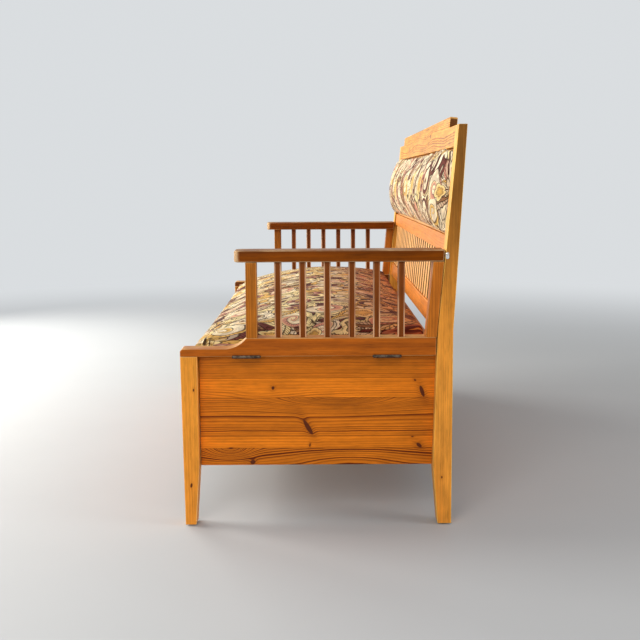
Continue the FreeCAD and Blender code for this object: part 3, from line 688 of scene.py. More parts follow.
@dataclass(frozen=True)
class Tapestry:
    """Woven tapestry with flowers, curling leaves and fine drawn lines, on the cloth's own map.

    The scales are motifs to a metre, plain is the share of the bands left pale, the cloth takes the dusk tint as
    painted shade between the two depths of shadow, and the tucks are painted dark as shade in the folds.
    """

    name: str
    ground: Colour = srgb(255, 236, 200)
    gold: Colour = srgb(226, 178, 96)
    straw: Colour = srgb(250, 226, 164)
    pink: Colour = srgb(214, 150, 126)
    plum: Colour = srgb(110, 56, 48)
    olive: Colour = srgb(166, 120, 84)
    ink: Colour = srgb(58, 30, 18)
    plain: float = 0.4
    curl_scale: float = 7.6
    flower_scale: float = 6.3
    leaf_scale: float = 8.2
    rib: float = 0.0011
    hatch_pitch: float = 0.0058
    relief: float = 0.0003
    shadow: tuple[float, float] = (-0.06, 0.24)
    dusk: Colour = srgb(218, 154, 106)
    tucks: tuple[Tuck, ...] = ()
    seed: float = 0.0

    def cell(self, s: Shader, u: Term, v: Term, scale: float, offset: float) -> tuple[Term, Term, Term, Term]:
        """Find the nearest motif.

        Args:
            s: the shader under construction.
            u, v: the cloth's coordinates in metres.
            scale: motifs to a metre.
            offset: a shift that gives each kind of motif its own places.

        Returns:
            The distance from its middle, the angle round it in turns, and two random numbers of its own.
        """
        inputs = {"Vector": s.vector(u + offset, v + offset), "Scale": scale, "Randomness": 0.75}
        made = s.node("ShaderNodeTexVoronoi", {"voronoi_dimensions": "2D"}, inputs)
        middle_u, middle_v, _ = s.parts(made.outputs["Position"])
        right = u + offset - middle_u
        up = v + offset - middle_v
        first, second, _ = s.parts(made.outputs["Color"])
        reach = (right * right + up * up).root()
        turn = up.maths("ARCTAN2", right) / math.tau + first
        return reach, turn, first, second

    def leaves(self, s: Shader, u: Term, v: Term, offset: float, colour: Input) -> bpy.types.NodeSocket:
        """Draw pointed leaves with a midrib and side veins over a colour.

        Args:
            s: the shader under construction.
            u, v: the cloth's coordinates in metres.
            offset: a shift that gives this set of leaves its own places.
            colour: what the leaves lie on.

        Returns:
            The colour with the leaves.
        """
        reach, turn, first, second = self.cell(s, u, v, self.leaf_scale, offset)
        half = 0.044 + first * 0.02
        lengthwise = reach * (turn * math.tau).cosine() / half
        curve = reach * (turn * math.tau).sine() / half - lengthwise * lengthwise * 0.28
        width = (1 - lengthwise * lengthwise) * 0.3 + (lengthwise * 21).sine() * 0.02
        over = abs(curve) - width
        leaf = over.ease(0.012, -0.012) * second.maths("GREATER_THAN", 0.2)
        tint = s.node("ShaderNodeValToRGB", {"stops": (
            (0.0, self.olive), (0.3, self.gold), (0.5, self.straw), (0.75, self.plum), (0.88, self.pink))},
            {0: (second * 5).fract()})
        tint.color_ramp.interpolation = "CONSTANT"
        half_tone = curve.ease(-0.02, 0.02) * 0.45
        body = s.mix(half_tone, tint.outputs[0], self.ground)
        veins = ((lengthwise - abs(curve) * 1.3) * 30).sine().ease(0.25, 0.85)
        body = s.mix(veins * 0.7, body, self.ink)
        body = s.mix(abs(curve).ease(0.045, 0.02) * 0.85, body, self.ink)
        body = s.mix(over.ease(-0.065, -0.035) * 0.9, body, self.ink)
        return s.mix(leaf, colour, body)

    def ribbons(self, s: Shader, u: Term, v: Term, bent_u: Term, bent_v: Term) -> tuple[bpy.types.NodeSocket, Term]:
        """Draw the winding bands of colour that lie under the motifs.

        Args:
            s: the shader under construction.
            u, v: the cloth's coordinates in metres.
            bent_u, bent_v: the same, bent by noise.

        Returns:
            The colour and the bands' drawn edges.
        """
        drift = s.cloud(bent_u * 8.5, bent_v * 8.5, 2.0, 1.5)
        ribbon = drift * 15
        inside = ribbon.fract()
        area = (s.cloud(u * 5.5, v * 5.5, 12.0, 1.0) * 7).floor()
        kind = s.chance(ribbon.floor(), area)
        rest = 1 - self.plain
        stops = ((0.0, self.ground), (self.plain, self.straw), (self.plain + rest * 0.2, self.ground),
                 (self.plain + rest * 0.32, self.gold), (self.plain + rest * 0.5, self.olive),
                 (self.plain + rest * 0.68, self.plum), (self.plain + rest * 0.86, self.pink))
        ramp = s.node("ShaderNodeValToRGB", {"stops": stops}, {0: kind})
        ramp.color_ramp.interpolation = "CONSTANT"
        colour = ramp.outputs[0]
        edge = inside.ease(0.16, 0.05).most(inside.ease(0.92, 0.99))
        hatch_run = bent_u * 0.8 + bent_v * 0.6 + drift * 0.08
        hatch = (hatch_run * (math.tau / self.hatch_pitch)).sine().ease(-0.25, 0.6)
        shaded = inside.ease(0.85, 0.25) * s.cloud(u * 15, v * 15, 3.0, 1.0).ease(0.34, 0.5)
        colour = s.mix(hatch * shaded * 0.8, colour, self.ink)
        vein = s.cloud(bent_u * 38, bent_v * 38, 5.0, 1.0)
        veins = abs(vein - 0.5).ease(0.045, 0.015) * s.cloud(u * 12, v * 12, 9.0, 1.0).ease(0.38, 0.5)
        colour = s.mix(veins * 0.8, colour, self.ink)
        return s.mix(edge * 0.9, colour, self.ink), edge

    def curls(self, s: Shader, u: Term, v: Term, colour: Input) -> bpy.types.NodeSocket:
        """Draw the scrolls over a colour.

        Args:
            s: the shader under construction.
            u, v: the cloth's coordinates, bent by noise.
            colour: what the scrolls lie on.

        Returns:
            The colour with the scrolls.
        """
        reach, turn, first, second = self.cell(s, u, v, self.curl_scale, 11.0)
        size = 0.036 + second * 0.018
        out = reach / size
        wind = (turn + out.most(0.05).maths("LOGARITHM", math.e) * 0.62).fract()
        arm = wind.ease(0.02, 0.06) * wind.ease(0.5, 0.46) * out.ease(1.0, 0.96) * out.ease(0.1, 0.16)
        disc = out.ease(1.02, 0.98)
        arm_colour = s.mix(first.maths("GREATER_THAN", 0.42), self.gold, self.plum)
        arm_colour = s.mix((second * 7).fract().maths("GREATER_THAN", 0.72), arm_colour, self.pink)
        arm_colour = s.mix(wind.ease(0.3, 0.46) * 0.7, arm_colour, self.straw)
        ray = (turn * (math.tau * 26)).sine().ease(0.1, 0.8)
        arm_colour = s.mix(ray * wind.ease(0.4, 0.1) * 0.6, arm_colour, self.ink)
        colour = s.mix(disc * 0.6, colour, self.ground)
        colour = s.mix(arm, colour, arm_colour)
        rim = abs(wind - 0.04).ease(0.05, 0.02).most(abs(wind - 0.49).ease(0.05, 0.02)) * disc * out.ease(0.1, 0.16)
        rim = rim.most(abs(out - 1.0).ease(0.05, 0.02))
        return s.mix(rim * 0.85, colour, self.ink)

    def flowers(self, s: Shader, u: Term, v: Term, colour: Input) -> bpy.types.NodeSocket:
        """Draw the five-petalled flowers over a colour.

        Args:
            s: the shader under construction.
            u, v: the cloth's coordinates, bent by noise.
            colour: what the flowers lie on.

        Returns:
            The colour with the flowers.
        """
        reach, turn, first, second = self.cell(s, u, v, self.flower_scale, 31.0)
        size = 0.03 + first * 0.016
        lobes = (abs((turn * (math.tau * 2.5)).cosine()) ** 0.6) * 0.34 + 0.66
        out = reach / (size * lobes)
        flower = out.ease(1.03, 0.98) * second.maths("GREATER_THAN", 0.25)
        light = first.maths("GREATER_THAN", 0.55)
        petal = s.mix(light, self.pink, self.straw)
        petal = s.mix(out.ease(0.35, 1.0), s.mix(light, self.plum, self.gold), petal)
        spoke = (turn * (math.tau * 20)).sine().ease(0.2, 0.8) * out.ease(0.85, 0.35)
        petal = s.mix(spoke * 0.55, petal, self.ink)
        petal = s.mix(abs(out - 0.97).ease(0.09, 0.04) * 0.9, petal, self.ink)
        petal = s.mix(abs(out - 0.52).ease(0.06, 0.03) * 0.7, petal, self.plum)
        petal = s.mix(out.ease(0.24, 0.2), petal, self.gold)
        return s.mix(flower, colour, petal)

    def make(self) -> bpy.types.Material:
        """Build the finish.

        Returns:
            The material.
        """
        s = Shader(self.name)
        flat_u, flat_v, _ = s.parts(s.node("ShaderNodeUVMap", {"uv_map": "cloth"}).outputs[0])
        u = flat_u + self.seed
        v = flat_v + self.seed
        warp_u = (s.cloud(u * 9, v * 9, 0.0, 2.0) - 0.5) * 0.05
        warp_v = (s.cloud(u * 9, v * 9, 7.0, 2.0) - 0.5) * 0.05
        colour, edge = self.ribbons(s, u, v, u + warp_u, v + warp_v)
        colour = self.leaves(s, u + warp_u * 0.6, v + warp_v * 0.6, 53.0, colour)
        colour = self.leaves(s, u + warp_u * 0.4, v + warp_v * 0.9, 71.0, colour)
        colour = self.curls(s, u + warp_u, v + warp_v, colour)
        colour = self.flowers(s, u + warp_u * 0.5, v + warp_v * 0.5, colour)

        worn = s.cloud(u * 6, v * 6, 1.0, 3.0)
        rib = (flat_v * (math.tau / self.rib)).sine()
        thread = (flat_u * (math.tau / (self.rib * 0.7))).sine()
        weave = rib * thread
        slub = s.cloud(flat_u * 60, flat_v * 900, 0.0, 1.0) - 0.5
        colour = s.shade(colour, worn * 0.3 + 0.92 + weave * 0.035 + slub * 0.22)
        x, y, z = s.place()
        fore, rear = self.shadow
        # Painted shade towards the back.
        colour = s.mix(y.ease(fore, rear), colour, self.dusk, "MULTIPLY")
        # Painted shade in the tucks, in the ink colour.
        for tuck in self.tucks:
            colour = s.mix(tuck.distance(s, x, y, z).ease(1.15, 0.6) * 0.92, colour, self.ink)
        height = weave * 0.5 + slub * 0.8 + (edge * -0.3)
        inputs = {"Base Color": colour, "Roughness": 0.86, "Sheen Weight": 0.04, "Sheen Roughness": 0.5,
                  "Specular IOR Level": 0.08}
        return s.finish(inputs, height, self.relief)


@dataclass(frozen=True)
class AgedMetal:
    """Old metal: a worn face, darker or rusty in patches, with fine scratches."""

    name: str
    clean: Colour
    aged: Colour
    spots: Colour
    age: float = 0.6
    roughness: float = 0.45
    metal: float = 0.85

    def make(self) -> bpy.types.Material:
        """Build the finish.

        Returns:
            The material.
        """
        s = Shader(self.name)
        x, y, z = s.place()
        patch = s.cloud(x * 120, y * 120, z * 120, 3.0).ease(0.62 - self.age * 0.4, 0.7)
        spot = s.cloud(x * 420, y * 420 + 3, z * 420, 2.0).ease(0.56, 0.68)
        scratch = s.cloud(x * 300, y * 2600, z * 300, 1.0) - 0.5
        colour = s.mix(patch, self.clean, self.aged)
        colour = s.mix(spot * self.age, colour, self.spots)
        rough = patch * 0.22 + self.roughness + spot * 0.12 + scratch * 0.1
        metal = (1 - spot * self.age * 0.8) * self.metal
        height = spot * -0.6 + scratch * 0.4 + patch * -0.3
        inputs = {"Base Color": colour, "Roughness": rough, "Metallic": metal}
        return s.finish(inputs, height, 0.00015)


# Where the camera stands; the knots of the near panel are placed as it sees them

@dataclass(frozen=True)
class ViewPoint:
    """The camera's place, aim and lens."""

    spot: tuple[float, float, float] = (3.332, -0.0090, 0.841)
    pitch: float = 7.6584
    yaw: float = 0.0796
    roll: float = -0.3138
    lens: float = 58.5
    sensor: float = 36.0

    def matrix(self) -> Matrix:
        """The camera's place and aim as a matrix."""
        pitch, yaw, roll = (math.radians(angle) for angle in (self.pitch, self.yaw, self.roll))
        ahead = Vector((-math.cos(pitch) * math.cos(yaw), math.cos(pitch) * math.sin(yaw), -math.sin(pitch)))
        right = ahead.cross(Vector((0, 0, 1))).normalized()
        up = right.cross(ahead)
        turned_right = right * math.cos(roll) + up * math.sin(roll)
        turned_up = up * math.cos(roll) - right * math.sin(roll)
        turn = Matrix((turned_right, turned_up, -ahead)).transposed()
        return Matrix.Translation(Vector(self.spot)) @ turn.to_4x4()


# Colours of the woods, as they look in plain light

LEG_EARLY, LEG_LATE = srgb(236, 154, 52), srgb(178, 92, 18)
PANEL_EARLY, PANEL_LATE = srgb(214, 118, 20), srgb(92, 28, 0)
ARM_EARLY, ARM_LATE = srgb(124, 60, 0), srgb(78, 32, 0)
STILE_EARLY, STILE_LATE = srgb(184, 108, 26), srgb(122, 60, 8)
RAIL_EARLY, RAIL_LATE = srgb(178, 92, 14), srgb(104, 42, 2)
BACK_EARLY, BACK_LATE = srgb(246, 184, 112), srgb(172, 98, 42)
INNER_EARLY, INNER_LATE = srgb(218, 172, 112), srgb(184, 126, 68)


def near_knots() -> tuple[Knot, ...]:
    """The knots of the right end panel."""
    return (
        Knot(-0.1212, 0.3386, 0.0036, 1.3, 1.4),
        Knot(0.2428, 0.3290, 0.0046, 3.2, -1.25),
        Knot(0.2255, 0.3565, 0.0022, 1.4, -0.6),
        Knot(-0.0364, 0.2407, 0.0056, 3.9, -1.03),
        Knot(0.2364, 0.1937, 0.0050, 1.7, -0.6),
        Knot(-0.0318, 0.1953, 0.0018, 2.6, 1.4),
        Knot(-0.1726, 0.1532, 0.0050, 1.2, 0.4),
        Knot(-0.2260, 0.1890, 0.0011, 5.0, 0.0),
        Knot(0.2200, 0.2150, 0.0014, 2.2),
    )


def far_knots() -> tuple[Knot, ...]:
    """The knots of the left end panel."""
    return (
        Knot(0.1200, 0.3250, 0.0060, 1.6, 0.5),
        Knot(-0.2100, 0.2400, 0.0070, 1.3, 0.2),
        Knot(0.0300, 0.1850, 0.0040, 2.2, -0.9),
        Knot(0.2000, 0.3900, 0.0035, 1.4),
    )


NEAR_SWIRLS = (
    Swirl(0.0370, 0.3150, 0.125, 0.028, 0.075, 2, 0.14),
    Swirl(-0.2280, 0.1910, 0.046, 0.024, 0.060, 0),
    Swirl(0.0600, 0.1650, 0.160, 0.030, -0.024, 0),
    Swirl(-0.1600, 0.3144, 0.120, 0.020, 0.014, 3),
)
FAR_SWIRLS = (
    Swirl(-0.0900, 0.2900, 0.130, 0.024, 0.040, 1),
    Swirl(0.1800, 0.1900, 0.060, 0.018, 0.030, 0),
)
PANEL_JOINTS = (0.1880, 0.2179, 0.3144, 0.3629)


def pines() -> dict[str, Pine]:
    """The wood finishes by the pieces that they are for.

    Returns:
        The finishes, with node names as keys.
    """
    made: dict[str, Pine] = {}

    def give(name: str, nodes: tuple[str, ...], grain: Grain, early: Colour, late: Colour, **more) -> None:
        """Share one finish among some nodes."""
        finish = Pine(name=name, grain=grain, early=early, late=late, **more)
        for node in nodes:
            made[node] = finish

    leg_knots = (Knot(0.103, -0.322, 0.0025, 2.2, 0.2), Knot(0.34, -0.312, 0.002, 2.0, 0.1))
    # Painted shade on the legs' inner sides (inner_face).
    give("pine_front_leg", ("front_leg_left", "front_leg_right"), Grain.UPRIGHT_END_FACE, LEG_EARLY, LEG_LATE,
         lines=0.5, sway=0.012, spacing=0.0055, knots=leg_knots, seed=1.3, wear=0.75, inner_face=0.5)
    post_knots = (Knot(0.765, 0.333, 0.0022, 2.0), Knot(0.12, 0.29, 0.002, 1.6))
    # A painted highlight on the post's front in the yellow worn colour (fore_wear), and painted shade high up on
    # its faces toward the ends (patina).
    give("pine_rear_post", ("rear_post_left", "rear_post_right"), Grain.UPRIGHT_END_FACE, srgb(230, 152, 56),
         srgb(180, 98, 22), lines=0.5, sway=0.012, knots=post_knots, seed=4.1, wear=0.8,
         worn=srgb(252, 210, 104), fore_wear=0.55, patina=0.30, patina_heights=(0.42, 0.84))
    give("pine_panel_right", ("end_panel_right",), Grain.DEPTH_UPRIGHT_FACE, PANEL_EARLY, PANEL_LATE,
         joints=PANEL_JOINTS, board_tones=(0.98, 1.14, 0.98, 1.2, 0.88),
         board_lines=(1.9, 0.5, 1.2, 0.6, 0.6), knots=near_knots(), swirls=NEAR_SWIRLS,
         sway=0.01, lines=0.95, spacing=0.0066, wear=0.25)
    give("pine_panel_left", ("end_panel_left",), Grain.DEPTH_UPRIGHT_FACE, PANEL_EARLY, PANEL_LATE,
         joints=(0.21, 0.30, 0.362), board_tones=(0.95, 1.08, 0.92, 1.02), knots=far_knots(), swirls=FAR_SWIRLS,
         sway=0.014, lines=0.9, spacing=0.0066, seed=9.4, wear=0.25)
    give("pine_front_board", ("front_board",), Grain.LENGTH_UPRIGHT_FACE, PANEL_EARLY, PANEL_LATE,
         joints=(0.215, 0.31), board_tones=(0.96, 1.08, 0.94), seed=2.7, sway=0.03,
         knots=(Knot(0.52, 0.26, 0.008, 1.5, 0.4), Knot(-0.31, 0.35, 0.006, 1.3), Knot(-0.6, 0.2, 0.007, 1.6, -0.3),
                Knot(0.12, 0.18, 0.005, 1.4)))
    give("pine_rear_board", ("rear_board",), Grain.LENGTH_UPRIGHT_FACE, PANEL_EARLY, PANEL_LATE,
         joints=(0.215, 0.31), board_tones=(0.9, 1.0, 0.94), seed=6.7, sway=0.03, roughness=0.55,
         knots=(Knot(-0.45, 0.25, 0.008, 1.5, 0.4), Knot(0.38, 0.33, 0.006, 1.3), Knot(0.02, 0.19, 0.006, 1.4)))
    # Painted shade on the rails' inner faces (inner_face) and a painted highlight on their fronts (fore_wear).
    give("pine_end_rail", ("end_rail_left", "end_rail_right"), Grain.DEPTH_FLAT_FACE, RAIL_EARLY, RAIL_LATE,
         seed=3.3, sway=0.012, spacing=0.005, lines=0.7, wear=0.6, end_cover=0.1, inner_face=0.36,
         fore_wear=0.7, top_wear=0.6)
    # A painted highlight on the arm boards' rounded fronts in the pale worn colour (fore_wear).
    give("pine_arm_board", ("arm_board_left", "arm_board_right"), Grain.DEPTH_FLAT_FACE, ARM_EARLY, ARM_LATE,
         seed=5.9, sway=0.014, lines=0.6, wear=0.5, worn=srgb(252, 216, 164), roughness=0.36, shine=0.06,
         coat=0.0, end_cover=0.0, fore_wear=0.85, top_wear=0.5)
    # Painted shade on the stiles' inner faces (inner_face).
    give("pine_front_stile", ("front_stile_left", "front_stile_right"), Grain.UPRIGHT_END_FACE, STILE_EARLY,
         STILE_LATE, seed=7.7, sway=0.01, spacing=0.005, lines=0.7, wear=0.4, inner_face=0.72)
    give("pine_rear_stile", ("rear_stile_left", "rear_stile_right"), Grain.UPRIGHT_END_FACE,
         srgb(192, 110, 30), srgb(128, 66, 12), seed=8.8, sway=0.01, spacing=0.005, lines=0.7, wear=0.4)
    # The spindles' arrises take a painted highlight in the pale worn colour.
    give("pine_spindles", ("arm_spindles_left", "arm_spindles_right"), Grain.UPRIGHT_END_FACE, srgb(122, 60, 8),
         srgb(76, 32, 2), seed=2.1, sway=0.01, lines=0.5, wear=0.8, worn=srgb(236, 190, 148))
    give("pine_crest", ("crest_rail",), Grain.LENGTH_UPRIGHT_FACE, srgb(230, 160, 64), srgb(142, 70, 18),
         seed=1.9, sway=0.035, board_lines=(1.5,), figure=1.8, end_cover=0.92,
         knots=(Knot(0.25, 0.965, 0.006, 1.5, 0.3), Knot(-0.42, 0.95, 0.005, 1.4)))
    give("pine_middle_rail", ("back_middle_rail",), Grain.LENGTH_UPRIGHT_FACE, srgb(228, 140, 50),
         srgb(162, 84, 22), seed=4.9, sway=0.02, lines=0.6)
    give("pine_lower_rail", ("back_lower_rail",), Grain.LENGTH_UPRIGHT_FACE, srgb(218, 130, 42),
         srgb(160, 80, 18), seed=5.5, sway=0.02, lines=0.6)
    # Painted shade on the slats' sides (end_face).
    give("pine_back_slats", ("back_slats",), Grain.UPRIGHT_FRONT_FACE, BACK_EARLY, BACK_LATE,
         seed=6.3, sway=0.01, slat_pitch=0.06, lines=0.6, end_face=0.2, wear=0.3)
    give("pine_back_board", ("back_cushion_board",), Grain.LENGTH_UPRIGHT_FACE, INNER_EARLY, INNER_LATE,
         seed=8.1, sway=0.03, joints=(0.81,), board_tones=(0.95, 1.05), roughness=0.6, wear=0.2,
         knots=(Knot(0.4, 0.77, 0.006, 1.4), Knot(-0.22, 0.86, 0.005, 1.5)))
    give("pine_seat_slats", ("fixed_slats", "moving_slats"), Grain.DEPTH_FLAT_FACE, INNER_EARLY, INNER_LATE,
         seed=3.9, sway=0.012, slat_pitch=0.055, roughness=0.6, wear=0.2)
    give("pine_bearers", ("fixed_front_bearer", "moving_rear_bearer", "front_ledger", "rear_ledger"),
         Grain.LENGTH_UPRIGHT_FACE, INNER_EARLY, INNER_LATE, seed=7.1, sway=0.015, roughness=0.6, wear=0.2)
    give("pine_runners", ("runner_left", "runner_right", "upper_cleat_left", "upper_cleat_right",
                          "lower_cleat_left", "lower_cleat_right"),
         Grain.DEPTH_UPRIGHT_FACE, INNER_EARLY, INNER_LATE, seed=9.9, sway=0.012, roughness=0.55, wear=0.2)
    return made


# Shaping

class Bench:
    """The few steps that shaping every new piece begins and ends with."""

    @staticmethod
    def clear() -> None:
        """Leave edit mode and select nothing."""
        if bpy.context.object is not None and bpy.context.object.mode != "OBJECT":
            bpy.ops.object.mode_set(mode="OBJECT")
        bpy.ops.object.select_all(action="DESELECT")

    @staticmethod
    def take(piece: bpy.types.Object) -> None:
        """Select one piece alone.

        Args:
            piece: the piece.
        """
        Bench.clear()
        piece.select_set(True)
        bpy.context.view_layer.objects.active = piece

    @staticmethod
    def copy_node(node: str, name: str) -> bpy.types.Object:
        """Copy a CAD node's mesh into a new piece, its loose triangles merged.

        Args:
            node: the CAD node.
            name: the new piece's name.

        Returns:
            The new piece.
        """
        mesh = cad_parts[node].data.copy()
        mesh.name = name
        mesh.materials.clear()
        piece = bpy.data.objects.new(name, mesh)
        bpy.context.scene.collection.objects.link(piece)
        Bench.take(piece)
        bpy.ops.object.mode_set(mode="EDIT")
        bpy.ops.mesh.select_all(action="SELECT")
        bpy.ops.mesh.remove_doubles(threshold=0.00001)
        bpy.ops.mesh.normals_make_consistent(inside=False)
        bpy.ops.object.mode_set(mode="OBJECT")
        return piece

    @staticmethod
    def apply(piece: bpy.types.Object, modifier: bpy.types.Modifier) -> None:
        """Apply a modifier.

        Args:
            piece: the piece that has it.
            modifier: the modifier.
        """
        Bench.take(piece)
        bpy.ops.object.modifier_apply(modifier=modifier.name)

    @staticmethod
    def points(piece: bpy.types.Object, kind: str = "co") -> np.ndarray:
        """A piece's points, one to a row, or with kind normal the directions that they face."""
        found = np.empty(len(piece.data.vertices) * 3)
        piece.data.vertices.foreach_get(kind, found)
        return found.reshape(-1, 3)

    @staticmethod
    def move_points(piece: bpy.types.Object, points: np.ndarray) -> None:
        """Put a piece's points where the rows say."""
        piece.data.vertices.foreach_set("co", points.ravel())
        piece.data.update()


def smooth_step(share: np.ndarray) -> np.ndarray:
    """Ease shares from 0 to 1, and hold them there outside."""
    share = np.clip(share, 0, 1)
    return share * share * (3 - 2 * share)


ROUND_STEPS = 180
# How far the folds reach: up the side as a share of the height, and in from the ends
FOLD_SIDE, FOLD_END = 0.55, 0.05
# The hanging front edge: how far back it reaches, where it starts, and where and how fast it fades above
LIP_REACH, LIP_START, LIP_TOP, LIP_FADE = 0.04, 0.008, 0.02, 0.045
# The swelling upper edge: how fast it clears the rail's face, and how far in from the ends it grows
SWELL_CLEAR, SWELL_END = 0.007, 0.07
# How far in from the ends the cloth's map follows the drop of the end
MAP_END = 0.06
CLOTH_SETTINGS = {"quality": 4, "mass": 0.3, "tension_stiffness": 12, "compression_stiffness": 12,
                  "shear_stiffness": 5, "bending_stiffness": 0.4, "use_pressure": True}


@dataclass
class Cushion:
    """A stuffed cushion, blown up as cloth from a slightly smaller shape and covered in tapestry.

    Lengths are in metres: cap limits how far the cloth may move, lip is how far the front edge hangs forwards,
    swell is how far the upper edge rises over the rail above, and rail_face is how high that rail's face stands
    over the cushion's flat side. flat_side is the axis that the flat side faces along, and lean is in degrees.
    """

    node: str
    slot: str
    finish: Tapestry
    voxel: float
    shrink: float
    cap: float
    lean: float = 0.0
    flat_side: int = 2
    pressure: float = 4.0
    frames: int = 20
    fill: float = 0.75
    held_height: float = 0.006
    free_height: float = 0.012
    fold_depth: float = 0.0
    tuck_depth: float = 0.010
    lip: float = 0.0
    swell: float = 0.0
    rail_face: float = 0.0125

    def base_plane(self, points: np.ndarray) -> np.ndarray:
        """Height of each point over the flat side that the cushion rests on.

        Args:
            points: the cushion's points.

        Returns:
            The heights.
        """
        if self.flat_side == 2:
            return points[:, 2] - points[:, 2].min()
        lean = math.radians(self.lean)
        depth = -(points[:, 1] * math.cos(lean) - points[:, 2] * math.sin(lean))
        return depth - depth.min()

    def across(self, points: np.ndarray) -> np.ndarray:
        """Place of each point across the cushion, square to its length and its height."""
        if self.flat_side == 2:
            return points[:, 1]
        lean = math.radians(self.lean)
        return points[:, 2] * math.cos(lean) + points[:, 1] * math.sin(lean)

    def start(self) -> bpy.types.Object:
        """Make the smaller shape that the cloth starts from.

        Returns:
            The piece, evenly meshed.
        """
        piece = Bench.copy_node(self.node, f"{self.node}_cloth")
        remesh = piece.modifiers.new("even", "REMESH")
        remesh.mode = "VOXEL"
        remesh.voxel_size = self.voxel
        Bench.apply(piece, remesh)
        points = Bench.points(piece)
        free = np.clip(self.base_plane(points) / self.free_height, 0, 1)[:, None]
        Bench.move_points(piece, points - Bench.points(piece, "normal") * self.shrink * free)
        return piece

    def blow_up(self, piece: bpy.types.Object) -> None:
        """Blow the cloth up over the flat side, which stays where it is.

        Args:
            piece: the evenly meshed piece.
        """
        before = Bench.points(piece)
        held = piece.vertex_groups.new(name="held")
        for index in np.nonzero(self.base_plane(before) < self.held_height)[0]:
            held.add([int(index)], 1.0, "REPLACE")
        cloth = piece.modifiers.new("cloth", "CLOTH")
        for name, value in CLOTH_SETTINGS.items():
            setattr(cloth.settings, name, value)
        cloth.settings.uniform_pressure_force = self.pressure
        cloth.settings.vertex_group_mass = "held"
        cloth.settings.effector_weights.gravity = 0
        cloth.collision_settings.use_collision = False
        cloth.collision_settings.use_self_collision = False
        cloth.point_cache.frame_start = 1
        cloth.point_cache.frame_end = self.frames
        scene = bpy.context.scene
        for number in range(1, self.frames + 1):
            scene.frame_set(number)
        Bench.apply(piece, cloth)
        scene.frame_set(1)
        after = Bench.points(piece)
        step = after - before
        length = np.linalg.norm(step, axis=1)
        limit = self.cap * np.tanh(length / self.cap) / np.maximum(length, 1e-9)
        Bench.move_points(piece, before + step * limit[:, None])

    def gather(self, piece: bpy.types.Object) -> None:
        """Draw small folds into the cloth along its pulled edges and corners.

        Args:
            piece: the piece.
        """
        points = Bench.points(piece)
        normals = Bench.points(piece, "normal")
        height = self.base_plane(points)
        top = height.max()
        depth = self.across(points)
        half_length = np.abs(points[:, 0]).max()
        near_edge = np.clip(1 - height / (top * FOLD_SIDE), 0, 1)
        to_end = half_length - np.abs(points[:, 0])
        near_end = np.exp(-to_end / FOLD_END)
        fold = np.empty(len(points))
        for index, (x, _, z) in enumerate(points):
            run = x * 21 + 3 * noise.noise((x * 4, depth[index] * 5, 1.7))
            fold[index] = noise.noise((run, depth[index] * 3.0, z * 2.0)) * 0.6
            fold[index] += noise.noise((x * 60, depth[index] * 7.0, 9.1)) * 0.25
        tuck = np.zeros(len(points))
        for place in self.finish.tucks:
            tuck += place.pull(points) * np.clip(height / self.held_height, 0, 1)
        points = points - normals * (tuck * self.tuck_depth)[:, None]
        amount = self.fold_depth * (0.35 + 0.9 * near_edge + 0.8 * near_end) * np.clip(height / 0.01, 0, 1)
        Bench.move_points(piece, points + normals * (fold * amount)[:, None])

    def hang_over(self, piece: bpy.types.Object) -> None:
        """Let the front edge hang forwards over the board below it.

        Args:
            piece: the piece.
        """
        points = Bench.points(piece)
        height = self.base_plane(points)
        to_front = points[:, 1] - points[:, 1].min()
        back = np.exp(-(to_front / LIP_REACH) ** 2)
        above = np.exp(-(np.maximum(height - LIP_TOP, 0) / LIP_FADE) ** 2)
        points[:, 1] -= self.lip * back * smooth_step(height / LIP_START) * above
        Bench.move_points(piece, points)

    def swell_over(self, piece: bpy.types.Object) -> None:
        """Let the upper edge swell over the face of the rail above it, between the rounded ends.

        Args:
            piece: the piece.
        """
        points = Bench.points(piece)
        height = self.base_plane(points)
        across = self.across(points)
        middle = (across.max() + across.min()) / 2
        share = np.clip((across - middle) / (across.max() - middle), 0, 1) ** 5
        to_end = np.abs(points[:, 0]).max() - np.abs(points[:, 0])
        clear = smooth_step((height - self.rail_face) / SWELL_CLEAR)
        push = self.swell * share * clear * smooth_step(to_end / SWELL_END)
        for index, x in enumerate(points[:, 0]):
            push[index] *= 0.85 + 0.45 * noise.noise((x * 34, 0.0, 5.5))
        lean = math.radians(self.lean)
        points[:, 1] += push * math.sin(lean)
        points[:, 2] += push * math.cos(lean)
        Bench.move_points(piece, points)

